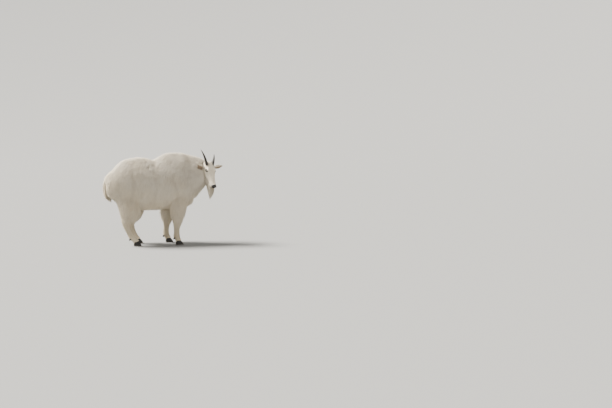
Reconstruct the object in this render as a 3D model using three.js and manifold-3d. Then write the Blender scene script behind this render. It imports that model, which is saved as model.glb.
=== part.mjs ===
// A mountain goat, life size, standing still on four hooves with its head turned to its right.
// Millimetres. +X points ahead of the goat, +Y to its left, +Z up, and the hooves stand at Z = 0.
// Each part of the body is a loft: a few cross-sections along a path, which also guide its locks of hair.
import * as THREE from "three";
import { mergeVertices } from "three/addons/utils/BufferGeometryUtils.js";
import Module from "manifold-3d";

const wasm = await Module();
wasm.setup();

const point = (x, y, z) => new THREE.Vector3(x, y, z);
const { lerp, smoothstep, degToRad } = THREE.MathUtils;

// Driving sizes
const GAP = 0.35;
const HALF_TRACK = 100;
const ACROSS = point(0, 1, 0);
const SIDES = { left: 1, right: -1 };

// The head's own axes: down the face, out of the forehead, and to the goat's left.
const HEAD_TURN = degToRad(68);
const FACE_SLOPE = degToRad(61.5);
const HEAD_TILT = degToRad(2.5);
const POLL = point(605, -51, 852);
const AHEAD = point(Math.cos(HEAD_TURN), -Math.sin(HEAD_TURN), 0);
const tilted = (v) => v.applyAxisAngle(AHEAD, -HEAD_TILT);
const DOWN_FACE = tilted(
  AHEAD.clone().multiplyScalar(Math.cos(FACE_SLOPE)).addScaledVector(point(0, 0, -1), Math.sin(FACE_SLOPE)),
);
const BROW = tilted(
  AHEAD.clone().multiplyScalar(Math.sin(FACE_SLOPE)).addScaledVector(point(0, 0, 1), Math.cos(FACE_SLOPE)),
);
const HEAD_LEFT = tilted(point(Math.sin(HEAD_TURN), Math.cos(HEAD_TURN), 0));

// Where a place on the head is: down the face from the poll, out of the forehead, and to the left.
const onHead = (down, out, left) =>
  POLL.clone().addScaledVector(DOWN_FACE, down).addScaledVector(BROW, out).addScaledVector(HEAD_LEFT, left);
const alongHead = (down, out, left) => onHead(down, out, left).sub(POLL).normalize();

// Seeded random numbers from 0 to 1, so that each build is the same.
let seed = 30;
function chance() {
  seed = (seed * 16807) % 2147483647;
  return seed / 2147483647;
}
const varied = (value, share) => value * (1 + share * (2 * chance() - 1));

// A smooth value at t, from 0 to 1, through evenly spaced numbers.
function through(values, t) {
  const last = values.length - 1;
  const at = Math.min(Math.max(t, 0), 1) * last;
  const i = Math.min(Math.floor(at), last - 1);
  const f = at - i;
  const [a, b, c, d] = [i - 1, i, i + 1, i + 2].map((k) => values[Math.min(Math.max(k, 0), last)]);
  const cubic = 3 * (b - c) + d - a;
  return b + (f * (c - a + f * (2 * a - 5 * b + 4 * c - d + f * cubic))) / 2;
}

// A station of a loft: its centre, its half width, its reach above and below the centre, and how
// pointed its upper half is. A peak of 2 is an ellipse, and less is narrower at the top.
const station = (centre, half, up, down, peak = 2) => ({ centre, half, up, down, peak });

// The least that a peak counts for in the height of a section, so that its top stays rounded
const LEAST_PEAK = 1.8;

class Loft {
  constructor(stations, side = ACROSS) {
    this.sideHint = side;
    this.track = new Map();
    for (const key of ["half", "up", "down", "peak"]) this.track.set(key, stations.map((s) => s[key]));
    for (const key of ["x", "y", "z"]) this.track.set(key, stations.map((s) => s.centre[key]));
  }

  value(key, t) {
    return through(this.track.get(key), t);
  }

  centre(t) {
    return point(this.value("x", t), this.value("y", t), this.value("z", t));
  }

  // The cross-section's own axes at t.
  frame(t) {
    const step = 0.01;
    const [from, to] = [Math.max(t - step, 0), Math.min(t + step, 1)];
    const tangent = this.centre(to).sub(this.centre(from)).normalize();
    const side = this.sideHint.clone().addScaledVector(tangent, -this.sideHint.dot(tangent)).normalize();
    return { tangent, side, up: tangent.clone().cross(side) };
  }

  // A place on the surface: at t along the path and at an angle from the left side, over the top.
  at(t, angle) {
    const { side, up } = this.frame(t);
    const [c, s] = [Math.cos(angle), Math.sin(angle)];
    const peak = s > 0 ? this.value("peak", t) : 2;
    const across = this.value("half", t) * Math.sign(c) * Math.abs(c) ** (2 / peak);
    const reach = this.value(s > 0 ? "up" : "down", t);
    const rise = reach * Math.sign(s) * Math.abs(s) ** (2 / Math.max(peak, LEAST_PEAK));
    return this.centre(t).addScaledVector(side, across).addScaledVector(up, rise);
  }

  // How the surface runs there: along the path, round the section, and outwards.
  slopes(t, angle) {
    const step = 0.01;
    const [from, to] = [Math.max(t - step, 0), Math.min(t + step, 1)];
    const lengthwise = this.at(to, angle).sub(this.at(from, angle)).divideScalar(to - from);
    const round = this.at(t, angle + step).sub(this.at(t, angle - step)).divideScalar(2 * step);
    return { lengthwise, round, out: lengthwise.clone().cross(round).multiplyScalar(-1).normalize() };
  }

  // Whether a place is inside the loft, or within some room of its surface.
  contains(place, room) {
    const tries = 60;
    const slab = 25;
    let nearest = 0;
    let least = Infinity;
    for (let i = 0; i <= tries; i++) {
      const distance = this.centre(i / tries).distanceTo(place);
      if (distance < least) [least, nearest] = [distance, i / tries];
    }
    const { tangent, side, up } = this.frame(nearest);
    const offset = place.clone().sub(this.centre(nearest));
    if (Math.abs(offset.dot(tangent)) > slab) return false;
    const rise = offset.dot(up);
    const reach = this.value(rise > 0 ? "up" : "down", nearest) + room;
    return Math.hypot(offset.dot(side) / (this.value("half", nearest) + room), rise / reach) < 1;
  }

  // The whole loft as one closed shape: a ball whose rings are the cross-sections.
  geometry(around, lengthwise) {
    const shape = new THREE.SphereGeometry(1, around, lengthwise);
    const places = shape.getAttribute("position");
    for (let i = 0; i < places.count; i++) {
      const row = Math.floor(i / (around + 1));
      const column = i % (around + 1);
      const angle = (-2 * Math.PI * (column % around)) / around;
      const t = Math.min(Math.max((row - 1) / (lengthwise - 2), 0), 1);
      const pole = row === 0 || row === lengthwise;
      const place = pole ? this.centre(t) : this.at(t, angle);
      places.setXYZ(i, place.x, place.y, place.z);
    }
    return shape;
  }
}

// A closed three.js shape as a solid that can be joined and cut.
function solidOf(shape) {
  const bare = new THREE.BufferGeometry().setAttribute("position", shape.getAttribute("position"));
  const indexed = mergeVertices(shape.index ? bare.setIndex(shape.index) : bare, 1e-3);
  const corners = Array.from(indexed.index.array);
  const triangles = [];
  for (let i = 0; i < corners.length; i += 3) {
    const [a, b, c] = corners.slice(i, i + 3);
    if (a !== b && b !== c && c !== a) triangles.push(a, b, c);
  }
  const made = (order) =>
    new wasm.Manifold(
      new wasm.Mesh({
        numProp: 3,
        vertProperties: indexed.attributes.position.array,
        triVerts: new Uint32Array(order),
      }),
    );
  const solid = made(triangles);
  return solid.volume() > 0 ? solid : made(triangles.reverse());
}

const joined = (solids) => wasm.Manifold.union(solids);
const largest = (solid) => solid.decompose().sort((a, b) => b.volume() - a.volume())[0];

// Moves each vertex of a shape to where place(x, y, z) says.
function moved(shape, place) {
  const places = shape.getAttribute("position");
  for (let i = 0; i < places.count; i++) {
    const to = place(places.getX(i), places.getY(i), places.getZ(i));
    places.setXYZ(i, to.x, to.y, to.z);
  }
  return shape;
}

// A solid with each vertex moved out of its surface by as much as amount(place) says.
function puffed(solid, amount) {
  const mesh = solid.getMesh();
  const { vertProperties: values, triVerts: corners, numProp } = mesh;
  const placeOf = (i) => point(...values.subarray(i * numProp, i * numProp + 3));
  const push = Array.from({ length: mesh.numVert }, () => point(0, 0, 0));
  for (let i = 0; i < corners.length; i += 3) {
    const [a, b, c] = [0, 1, 2].map((k) => placeOf(corners[i + k]));
    const out = b.clone().sub(a).cross(c.clone().sub(a)).normalize();
    [a, b, c].forEach((here, k) => {
      const [next, other] = [[b, c], [c, a], [a, b]][k];
      const share = next.clone().sub(here).angleTo(other.clone().sub(here));
      push[corners[i + k]].addScaledVector(out, share || 0);
    });
  }
  const shifted = new Float32Array(mesh.numVert * 3);
  push.forEach((way, i) => {
    const place = placeOf(i);
    shifted.set(place.addScaledVector(way.normalize(), amount(place)).toArray(), i * 3);
  });
  return new wasm.Manifold(new wasm.Mesh({ numProp: 3, vertProperties: shifted, triVerts: corners }));
}

// The solid grown by a gap, so that what is cut by it stays clear of the solid itself
const grown = (solid, by = GAP) => puffed(solid, () => by);

// The solid with the places where its surface touches itself drawn apart, so that it stays closed
const CLOSEST = 0.02;
function unpinched(solid) {
  const keyOf = (place) => place.toArray().map((value) => Math.round(value / CLOSEST)).join();
  const crowd = new Map();
  const counted = (place) => {
    crowd.set(keyOf(place), (crowd.get(keyOf(place)) ?? 0) + 1);
    return 0;
  };
  puffed(solid, counted);
  return puffed(solid, (place) => (crowd.get(keyOf(place)) > 1 ? -2 * CLOSEST : 0));
}

// What is left of a solid when it stays clear of its neighbours, by a wider gap where thin faces need
// it. Neighbours are given as the simple shapes that they are joined from.
function clearOf(solid, neighbours) {
  return neighbours.reduce((left, other) => {
    let cut = left.subtract(grown(other));
    for (const gaps of [2, 3, 4]) {
      if (cut.intersect(other).volume() > 0) cut = cut.subtract(grown(other, gaps * GAP));
    }
    return cut;
  }, solid);
}

// The places and outward directions of a path that starts on a loft and runs where the hair lies.
function trail(loft, t, angle, lie, long, steps) {
  const path = [];
  for (let i = 0; i <= steps; i++) {
    const { lengthwise, round, out } = loft.slopes(t, angle);
    path.push({ place: loft.at(t, angle), out });
    const way = lie(loft.at(t, angle)).clone();
    way.addScaledVector(out, -way.dot(out)).normalize().multiplyScalar(long / steps);
    const [ll, lr, rr] = [lengthwise.dot(lengthwise), lengthwise.dot(round), round.dot(round)];
    const [wl, wr] = [way.dot(lengthwise), way.dot(round)];
    const spread = ll * rr - lr * lr || 1;
    t = Math.min(Math.max(t + (wl * rr - wr * lr) / spread, 0.01), 0.99);
    angle += (wr * ll - wl * lr) / spread;
  }
  return path;
}

// A flat, tapered lock of hair with a low ridge. It starts inside the loft, bends to lie along the
// surface and ends in a tip that rests on the lock below. With hang above 0 it leaves a surface that
// turns under it, and falls freely.
function lock(loft, t, angle, lie, { long, wide, thick, lift, sunk, hang, bends }) {
  const path = trail(loft, t, angle, lie, long, bends);
  const fall = lie(path[0].place).clone().normalize().multiplyScalar(long);
  const rise = bends === 3 ? [-sunk, lift * 0.5, lift * 0.85, lift] : [-sunk, lift * 0.7, lift];
  const spread = bends === 3 ? [0.75, 1, 0.72, 0] : [0.75, 1, 0];
  const spine = path.map(({ place, out }, i) => {
    const s = i / bends;
    const free = path[0].place.clone().addScaledVector(fall, s);
    return place.clone().lerp(free, hang * Math.sqrt(s)).addScaledVector(out, rise[i]);
  });
  const shape = new THREE.ConeGeometry(1, 1, 3, bends);
  return solidOf(
    moved(shape, (x, y, z) => {
      const i = Math.round((y + 0.5) * bends);
      const [before, after] = [spine[Math.max(i - 1, 0)], spine[Math.min(i + 1, bends)]];
      const ahead = after.clone().sub(before).normalize();
      const across = path[i].out.clone().cross(ahead).normalize();
      const up = ahead.clone().cross(across);
      const radius = Math.max(1 - i / bends, 1e-6);
      return spine[i]
        .clone()
        .addScaledVector(across, ((x / radius) * wide * spread[i]) / 2)
        .addScaledVector(up, ((z / radius) * thick * Math.sqrt(spread[i])) / 2);
    }),
  );
}

// Rows of locks over a loft, each half a place out of step with the last. A row runs along the loft
// at one angle, or round it at one t.
function coat(loft, { rows, count, from, to, lie, size, skip = () => false }) {
  const locks = [];
  rows.forEach((row, r) => {
    for (let i = 0; i < count; i++) {
      const share = (i + 0.25 + 0.5 * (r % 2)) / count;
      const t = row.t ?? lerp(from, to, share);
      const angle = degToRad(row.angle ?? lerp(from, to, share));
      const place = loft.at(t, angle);
      const sizes = { ...size };
      for (const key of ["long", "wide", "lift"]) sizes[key] = varied(sizes[key], 0.12);
      if (!skip(place)) locks.push(lock(loft, t, angle, lie, sizes));
    }
  });
  return locks;
}

// The trunk, from the rump to the brisket. The coat stands as far out of it again as it is deep.
const trunk = new Loft([
  station(point(-447, 0, 650), 38, 36, 40),
  station(point(-427, 0, 648), 84, 92, 95),
  station(point(-370, 0, 634), 118, 166, 152),
  station(point(-288, 0, 626), 140, 238, 190),
  station(point(-195, 0, 620), 152, 268, 217),
  station(point(-108, 0, 614), 158, 281, 223),
  station(point(-25, 0, 611), 161, 270, 222),
  station(point(45, 0, 610), 161, 250, 220),
  station(point(110, 0, 612), 158, 282, 220, 1.8),
  station(point(200, 0, 618), 152, 318, 222, 1.65),
  station(point(300, 0, 630), 146, 318, 228, 1.6),
  station(point(380, 0, 645), 130, 290, 222, 1.6),
  station(point(432, 0, 652), 102, 218, 170, 1.8),
  station(point(462, 0, 645), 64, 120, 100),
  station(point(474, 0, 642), 32, 50, 45),
]);

const neck = new Loft([
  station(point(290, 0, 700), 122, 238, 225, 1.7),
  station(point(385, 0, 692), 118, 254, 214, 1.6),
  station(point(465, -2, 715), 104, 222, 148, 1.65),
  station(point(530, -12, 745), 90, 176, 112, 1.8),
  station(point(574, -32, 768), 78, 130, 88),
  station(point(600, -50, 782), 60, 84, 68),
]);

// Down the face from the poll: how far, the half width, and the reach to the brow and to the jaw.
const face = [
  [0, 40, 28, 40],
  [24, 54, 41, 64],
  [62, 60, 45, 84],
  [104, 60, 41, 98],
  [140, 50, 36, 88],
  [180, 41, 31, 67],
  [216, 35, 27, 52],
  [246, 33, 25, 45],
  [267, 30, 22, 38],
  [281, 21, 14, 27],
];
const FACE_LONG = face.at(-1)[0];
const headLoft = (slimmer = 0) =>
  new Loft(
    face.map(([down, half, brow, jaw]) =>
      station(
        onHead(down * (1 - slimmer / FACE_LONG), 0, 0),
        ...[half, brow, jaw].map((size) => size - slimmer),
      ),
    ),
    HEAD_LEFT,
  );
const skull = headLoft();

const tail = new Loft([
  station(point(-415, 0, 700), 16, 16, 16),
  station(point(-440, 0, 668), 25, 20, 20),
  station(point(-450, 0, 618), 25, 18, 18),
  station(point(-440, 0, 566), 19, 15, 15),
  station(point(-424, 0, 520), 11, 9, 9),
]);

// Heights down each leg, with the girth there: half width, and reach ahead of and behind the bone.
const foreGirth = [
  [640, 46, 76, 76],
  [520, 52, 88, 84],
  [430, 51, 76, 72],
  [340, 46, 60, 58],
  [262, 35, 41, 41],
  [222, 31, 33, 34],
  [196, 26, 28, 30],
  [140, 22, 23, 26],
  [90, 27, 26, 32],
  [58, 24, 25, 27],
  [38, 27, 32, 30],
];
const hindGirth = [
  [700, 44, 100, 84],
  [600, 55, 130, 98],
  [500, 58, 132, 92],
  [410, 57, 126, 78],
  [330, 48, 102, 74],
  [268, 37, 66, 52],
  [232, 31, 42, 38],
  [200, 27, 33, 34],
  [140, 23, 26, 27],
  [90, 27, 27, 32],
  [58, 24, 25, 27],
  [38, 27, 32, 30],
];
// How far ahead of the middle of the body each leg stands at those heights.
const stance = {
  right_foreleg: [308, 296, 288, 283, 276, 272, 269, 267, 268, 277, 286],
  left_foreleg: [284, 262, 240, 216, 196, 187, 183, 178, 178, 190, 201],
  right_hind_leg: [-306, -286, -262, -240, -236, -246, -252, -246, -222, -193, -170, -153],
  left_hind_leg: [-292, -264, -222, -188, -178, -190, -200, -196, -179, -158, -137, -120],
};
const KNEE_STATION = 6;
const HOCK_STATION = 7;
// How far the legs lean in, at the shoulder or hip and all the way up from the knee or hock
const SHOULDER_IN = 20;
const KNEE_IN = 9;

// A leg as two lofts, which overlap over one station at the knee or hock.
function leg(name, girth, joint, sign) {
  const aside = (height) =>
    HALF_TRACK - SHOULDER_IN * smoothstep(height, 420, 560) - KNEE_IN * smoothstep(height, 200, 600);
  const stations = girth.map(([height, half, fore, back], i) =>
    station(point(stance[name][i], sign * aside(height), height), half, fore, back),
  );
  return {
    upper: new Loft(stations.slice(0, joint + 1)),
    lower: new Loft(stations.slice(joint - 1)),
    foot: stations.at(-1).centre,
    fetlock: stations.at(-3).centre,
  };
}

const legs = {};
for (const [side, sign] of Object.entries(SIDES)) {
  legs[side + "_foreleg"] = leg(side + "_foreleg", foreGirth, KNEE_STATION, sign);
  legs[side + "_hind_leg"] = leg(side + "_hind_leg", hindGirth, HOCK_STATION, sign);
}

// How the hair lies: back along the top, then down the flanks and straight down the legs.
function bodyLie(place) {
  const top = smoothstep(place.z, 760, 930);
  const aside = Math.sign(place.y) * 0.45 * top;
  return point(lerp(-0.35, -1, top), aside, lerp(-1, -0.3, top));
}
const legLie = () => point(-0.16, 0, -1);
const tailLie = () => point(0.25, 0, -1);
const beardLie = () => point(-0.06, 0.03, -1);
const cheekLie = () => point(-0.35, 0.2, -1);

// The sizes of one lock in each part of the coat: how long, wide and thick it is, how far its tip
// lifts, how deep its root is sunk, how freely it hangs and in how many places it bends.
const trunkLock = { long: 215, wide: 156, thick: 24, lift: 25, sunk: 18, hang: 0, bends: 3 };
const bellyLock = { long: 120, wide: 128, thick: 20, lift: 16, sunk: 20, hang: 0.3, bends: 2 };
const neckLock = { long: 176, wide: 136, thick: 22, lift: 27, sunk: 18, hang: 0, bends: 2 };
const chapLock = { long: 140, wide: 86, thick: 17, lift: 20, sunk: 14, hang: 0.5, bends: 2 };
const pantaloonLock = { long: 170, wide: 108, thick: 20, lift: 22, sunk: 15, hang: 0.35, bends: 2 };
const tailLock = { long: 104, wide: 42, thick: 14, lift: 9, sunk: 9, hang: 0.6, bends: 2 };
const beardLock = { long: 92, wide: 40, thick: 16, lift: 8, sunk: 14, hang: 0.9, bends: 3 };
const cheekLock = { long: 66, wide: 54, thick: 14, lift: 12, sunk: 10, hang: 0.3, bends: 2 };

const bothSides = (angles) => angles.flatMap((angle) => [{ angle }, { angle: 180 - angle }]);
const rings = (places) => places.map((t) => ({ t }));
const ROUND = { from: 0, to: 360 };
const upperLegs = Object.values(legs).map((one) => one.upper);
const inside = (others, room = 4) => (place) => others.some((other) => other.contains(place, room));
// A lock is left out only where its root is this deep inside a neighbour.
const DEEP = -14;

const flankRows = { rows: bothSides([76, 40, 6]), count: 7, from: 0.05, to: 0.86, lie: bodyLie };
const bellyRows = { rows: bothSides([-28, -66]), count: 4, from: 0.2, to: 0.82, lie: bodyLie };
const neckRows = { rows: bothSides([70, 26, -22]), count: 3, from: 0.26, to: 0.96, lie: bodyLie };
const throatRows = { rows: bothSides([-64]), count: 2, from: 0.3, to: 0.86, lie: bodyLie };
const jawRows = { rows: [-66, -90, -114].map((angle) => ({ angle })), count: 3, from: 0.4, to: 0.92 };
const cheekRows = { rows: bothSides([-26]), count: 3, from: 0.14, to: 0.52, lie: cheekLie };

const trunkCoat = () => [
  ...coat(trunk, { ...flankRows, size: trunkLock, skip: inside([neck, tail], DEEP) }),
  ...coat(trunk, { ...bellyRows, size: bellyLock, skip: inside([neck, ...upperLegs], DEEP) }),
];
const neckCoat = () => [
  ...coat(neck, { ...neckRows, size: neckLock, skip: inside([skull, trunk], DEEP) }),
  ...coat(neck, { ...throatRows, size: bellyLock, skip: inside([skull, trunk], DEEP) }),
];
const legRows = (places, count) =>
  ({ rows: rings(places), count, ...ROUND, lie: legLie, skip: inside([trunk]) });
const chaps = (upper) => coat(upper, { ...legRows([0.36, 0.58, 0.8], 5), size: chapLock });
const pantaloons = (upper) => coat(upper, { ...legRows([0.3, 0.52, 0.74], 6), size: pantaloonLock });
const tailRows = { rows: rings([0.4, 0.72]), count: 3, ...ROUND, lie: tailLie };
const tailCoat = () => coat(tail, { ...tailRows, size: tailLock });
const beard = () => coat(skull, { ...jawRows, lie: beardLie, size: beardLock });
const cheeks = () => coat(skull, { ...cheekRows, size: cheekLock });

// Eyes, each with the ring of its lids: a ball with an almond opening cut through it
const EYE = { down: 104, out: 19, aside: 41, radius: 15.5, lid: 18.6 };
const eyePlace = (sign) => onHead(EYE.down, EYE.out, sign * EYE.aside);
const ball = (radius, centre) =>
  new THREE.SphereGeometry(radius, 8, 6).translate(centre.x, centre.y, centre.z);

const FLAT_ENDS = { curveSegments: 3, bevelEnabled: false };
const ALMOND = { half: 13.5, high: 9, deep: 40 };
function eyeOpening(sign) {
  const gaze = alongHead(-0.12, 0.42, sign * 0.9);
  const slit = alongHead(0.86, 0.1, sign * -0.06);
  slit.addScaledVector(gaze, -slit.dot(gaze)).normalize();
  const upward = gaze.clone().cross(slit);
  const almond = new THREE.Shape().moveTo(-ALMOND.half, 0);
  almond.quadraticCurveTo(0, 2 * ALMOND.high, ALMOND.half, 0);
  almond.quadraticCurveTo(0, -2 * ALMOND.high, -ALMOND.half, 0);
  const opening = new THREE.ExtrudeGeometry(almond, { depth: ALMOND.deep, ...FLAT_ENDS });
  const centre = eyePlace(sign);
  moved(opening, (x, y, z) =>
    centre.clone().addScaledVector(slit, x).addScaledVector(upward, y).addScaledVector(gaze, z),
  );
  return solidOf(opening);
}
const lids = (sign) => solidOf(ball(EYE.lid, eyePlace(sign)));

const HORN = { down: 42, out: 24, aside: 33, radius: 16.5, lean: 32, sweep: 46, spread: 17, blunt: 1.8 };
const HORN_LONG = { left: 128, right: 178 };
function hornLoft(side) {
  const steps = 8;
  const place = onHead(HORN.down, HORN.out, SIDES[side] * HORN.aside);
  const stations = [];
  for (let i = 0; i <= steps; i++) {
    const s = i / steps;
    const lean = degToRad(HORN.lean - HORN.sweep * s);
    const aside = SIDES[side] * Math.sin(degToRad(HORN.spread));
    const radius = Math.max(HORN.radius * (1 - s) ** 0.75, HORN.blunt);
    stations.push(station(place.clone(), radius, radius * 1.1, radius * 1.1));
    place.add(alongHead(-Math.cos(lean), Math.sin(lean), aside).multiplyScalar(HORN_LONG[side] / steps));
  }
  return new Loft(stations, HEAD_LEFT);
}

// Ears: a leaf with a smaller leaf cut out of its front, which leaves the cup. Each points its own way.
const EAR = { down: 58, out: -4, aside: 46, long: 112, half: 22, thick: 9, cup: 5 };
const earPoints = { left: alongHead(-0.06, 0.25, 0.87), right: alongHead(-0.2, 0.32, -0.85) };
function ear(side) {
  const root = onHead(EAR.down, EAR.out, SIDES[side] * EAR.aside);
  const away = earPoints[side];
  const facing = alongHead(0.45, 0.85, 0);
  facing.addScaledVector(away, -facing.dot(away)).normalize();
  const outline = [0.42, 0.52, 0.86, 1, 0.86, 0.52, 0.14];
  const leaf = (wide, thick, forward, from) =>
    new Loft(
      outline.map((share, i) => {
        const s = lerp(from, 1, i / (outline.length - 1));
        const bow = EAR.long * 0.06 * Math.sin(Math.PI * s);
        const centre = root.clone().addScaledVector(away, EAR.long * s);
        centre.addScaledVector(facing, forward - bow);
        const half = thick * Math.sqrt(share);
        return station(centre, EAR.half * share * wide, half, half);
      }),
      facing.clone().cross(away),
    );
  const shell = solidOf(leaf(1, EAR.thick, 0, 0).geometry(7, 8));
  return shell.subtract(solidOf(leaf(0.74, EAR.thick, EAR.cup, 0.3).geometry(6, 6)));
}

// An egg set on the head, with its three half sizes down the face, out of it and to its left
function egg(down, out, left, size, bigger = 0) {
  const half = size.map((value) => value + bigger);
  return solidOf(
    moved(new THREE.SphereGeometry(1, 8, 5), (x, y, z) =>
      onHead(down + x * half[0], out + y * half[1], left + z * half[2]),
    ),
  );
}
const muzzlePad = (bigger) => egg(273, 14, 0, [24, 26, 29], bigger);
const nostril = (sign) => egg(284, 12, sign * 13, [10, 8, 5]);
const lip = (sign) => egg(246, -2, sign * 18, [30, 17, 17]);
const chin = () => egg(254, -26, 0, [24, 15, 23]);
const brow = (sign) => egg(86, 23, sign * 35, [30, 13, 16]);

// The line of the mouth: a thin blade through the muzzle, less the muzzle's own inside
const MOUTH = { corner: [204, -28], bend: [236, -12], front: [300, -12], open: 2.4, deep: 5, half: 60 };
function mouthLine() {
  const [corner, bend, front] = [MOUTH.corner, MOUTH.bend, MOUTH.front];
  const side = new THREE.Shape().moveTo(...corner);
  side.quadraticCurveTo(...bend, ...front);
  side.lineTo(front[0], front[1] - MOUTH.open);
  side.quadraticCurveTo(bend[0], bend[1] - MOUTH.open, corner[0], corner[1] - MOUTH.open);
  const blade = new THREE.ExtrudeGeometry(side, { depth: 2 * MOUTH.half, ...FLAT_ENDS });
  moved(blade, (x, y, z) => onHead(x, y, z - MOUTH.half));
  return solidOf(blade).subtract(solidOf(headLoft(MOUTH.deep).geometry(8, 8)));
}

// The hoof: two claws with flat soles, and two dew claws behind the fetlock.
const CLAW = { high: 50, toe: 46, heel: 34, half: 14.5, apart: 16.5, ahead: 4 };
const clawShape = [
  { share: 0, wide: 1, toe: 1, heel: 1 },
  { share: 0.25, wide: 1, toe: 0.93, heel: 1 },
  { share: 0.6, wide: 0.96, toe: 0.68, heel: 0.96 },
  { share: 0.86, wide: 0.8, toe: 0.4, heel: 0.78 },
  { share: 1, wide: 0.4, toe: 0.12, heel: 0.36 },
];
function claw(foot, sign) {
  const splay = degToRad(5) * sign;
  const outline = new Loft(
    clawShape.map(({ share, wide, toe, heel }) =>
      station(
        point(foot.x + CLAW.ahead, foot.y + sign * CLAW.apart, CLAW.high * share),
        CLAW.half * wide,
        CLAW.heel * heel,
        CLAW.toe * toe,
      ),
    ),
    point(Math.sin(splay), Math.cos(splay), 0),
  );
  return solidOf(outline.geometry(8, 6));
}
function dewClaw(fetlock, sign) {
  const behind = (back, aside, low, radius) =>
    station(point(fetlock.x - back, fetlock.y + sign * aside, fetlock.z - low), radius, radius, radius);
  const stub = new Loft([behind(18, 13, 12, 7), behind(32, 14, 19, 8), behind(43, 15, 30, 4)]);
  return solidOf(stub.geometry(5, 4));
}

// Materials
const paint = (color, roughness) => new THREE.MeshStandardMaterial({ color, roughness, metalness: 0 });
const COAT = paint(0xe9e3d3, 0.95);
const HORN_BLACK = paint(0x17140f, 0.4);
const EYE_BROWN = paint(0x120c07, 0.1);
const NOSE_BLACK = paint(0x15110f, 0.5);
const HOOF_BLACK = paint(0x1d1a17, 0.6);

const goat = new THREE.Group();
function shapeOf(solid) {
  const mesh = solid.getMesh();
  const places = new Float32Array(mesh.numVert * 3);
  for (let i = 0; i < mesh.numVert; i++) {
    places.set(mesh.vertProperties.subarray(i * mesh.numProp, i * mesh.numProp + 3), i * 3);
  }
  return new THREE.BufferGeometry()
    .setAttribute("position", new THREE.BufferAttribute(places, 3))
    .setIndex(new THREE.BufferAttribute(mesh.triVerts, 1));
}
function node(name, solid, material) {
  const whole = largest(unpinched(largest(solidOf(shapeOf(largest(solid))))));
  const made = new THREE.Mesh(shapeOf(whole), material);
  made.name = name;
  goat.add(made);
  return whole;
}
const withCoat = (loft, around, lengthwise, locks) => [solidOf(loft.geometry(around, lengthwise)), ...locks];

const headPieces = [];
for (const [side, sign] of Object.entries(SIDES)) {
  headPieces.push(node(side + "_eye", solidOf(ball(EYE.radius, eyePlace(sign))), EYE_BROWN));
  headPieces.push(node(side + "_horn", solidOf(hornLoft(side).geometry(8, 9)), HORN_BLACK));
  headPieces.push(node(side + "_ear", ear(side), COAT));
}
const bothEach = (make) => Object.values(SIDES).map(make);
const bareHead = [solidOf(skull.geometry(12, 12)), chin(), ...bothEach(lip), ...bothEach(brow)];
const headShapes = [...bareHead, ...beard(), ...cheeks(), ...bothEach(lids)];
const holes = joined([...bothEach(nostril), mouthLine()]);
node("nose", joined(bareHead).intersect(muzzlePad(0)).subtract(holes), NOSE_BLACK);
const openings = joined([mouthLine(), muzzlePad(GAP), ...bothEach(eyeOpening)]);
node("head", clearOf(joined(headShapes).subtract(openings), headPieces), COAT);
const tailShapes = withCoat(tail, 8, 8, tailCoat());
node("tail", joined(tailShapes), COAT);

const upperShapes = [];
for (const [name, { upper, lower, foot, fetlock }] of Object.entries(legs)) {
  const locks = name.endsWith("foreleg") ? chaps(upper) : pantaloons(upper);
  const shapes = withCoat(upper, 9, 8, locks);
  upperShapes.push(...shapes);
  node(name + "_upper", joined(shapes), COAT);
  const dews = Object.entries(SIDES).map(([side, sign]) =>
    node(name + "_dew_claw_" + side, dewClaw(fetlock, sign), HOOF_BLACK),
  );
  const bare = clearOf(solidOf(lower.geometry(8, 8)), [...shapes, ...dews]);
  const below = node(name + "_lower", bare, COAT);
  for (const [side, sign] of Object.entries(SIDES)) {
    node(name + "_claw_" + side, clearOf(claw(foot, sign), [below]), HOOF_BLACK);
  }
}

// Neck and torso are one body, parted ahead of the forelegs by a plane that leans back to the withers.
const PARTING = { at: point(398, 0, 640), lean: degToRad(11), size: 2000 };
function beyondParting(sign) {
  const box = new THREE.BoxGeometry(PARTING.size, PARTING.size, PARTING.size);
  box.translate(sign * (PARTING.size + GAP) * 0.5, 0, 0).rotateY(-PARTING.lean);
  return solidOf(box.translate(PARTING.at.x, PARTING.at.y, PARTING.at.z));
}
const body = joined([...withCoat(neck, 14, 8, neckCoat()), ...withCoat(trunk, 16, 17, trunkCoat())]);
const headAndLegs = [...headShapes, ...headPieces, ...upperShapes];
node("neck", clearOf(body.intersect(beyondParting(1)), headAndLegs), COAT);
node("torso", clearOf(body.intersect(beyondParting(-1)), [...tailShapes, ...upperShapes]), COAT);

// The origin is on the floor, under the middle of the whole goat.
const reach = new THREE.Box3().setFromObject(goat);
const middle = reach.getCenter(new THREE.Vector3());
goat.position.set(-middle.x, -middle.y, -reach.min.z);

export default goat;
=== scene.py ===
"""Dresses a mountain goat in skin, coat, eyes, horns and hooves, on a pale studio floor."""

import math

import bmesh
import bpy
import numpy as np
from mathutils import Matrix, Vector
from mathutils.bvhtree import BVHTree
from mathutils.kdtree import KDTree


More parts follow.
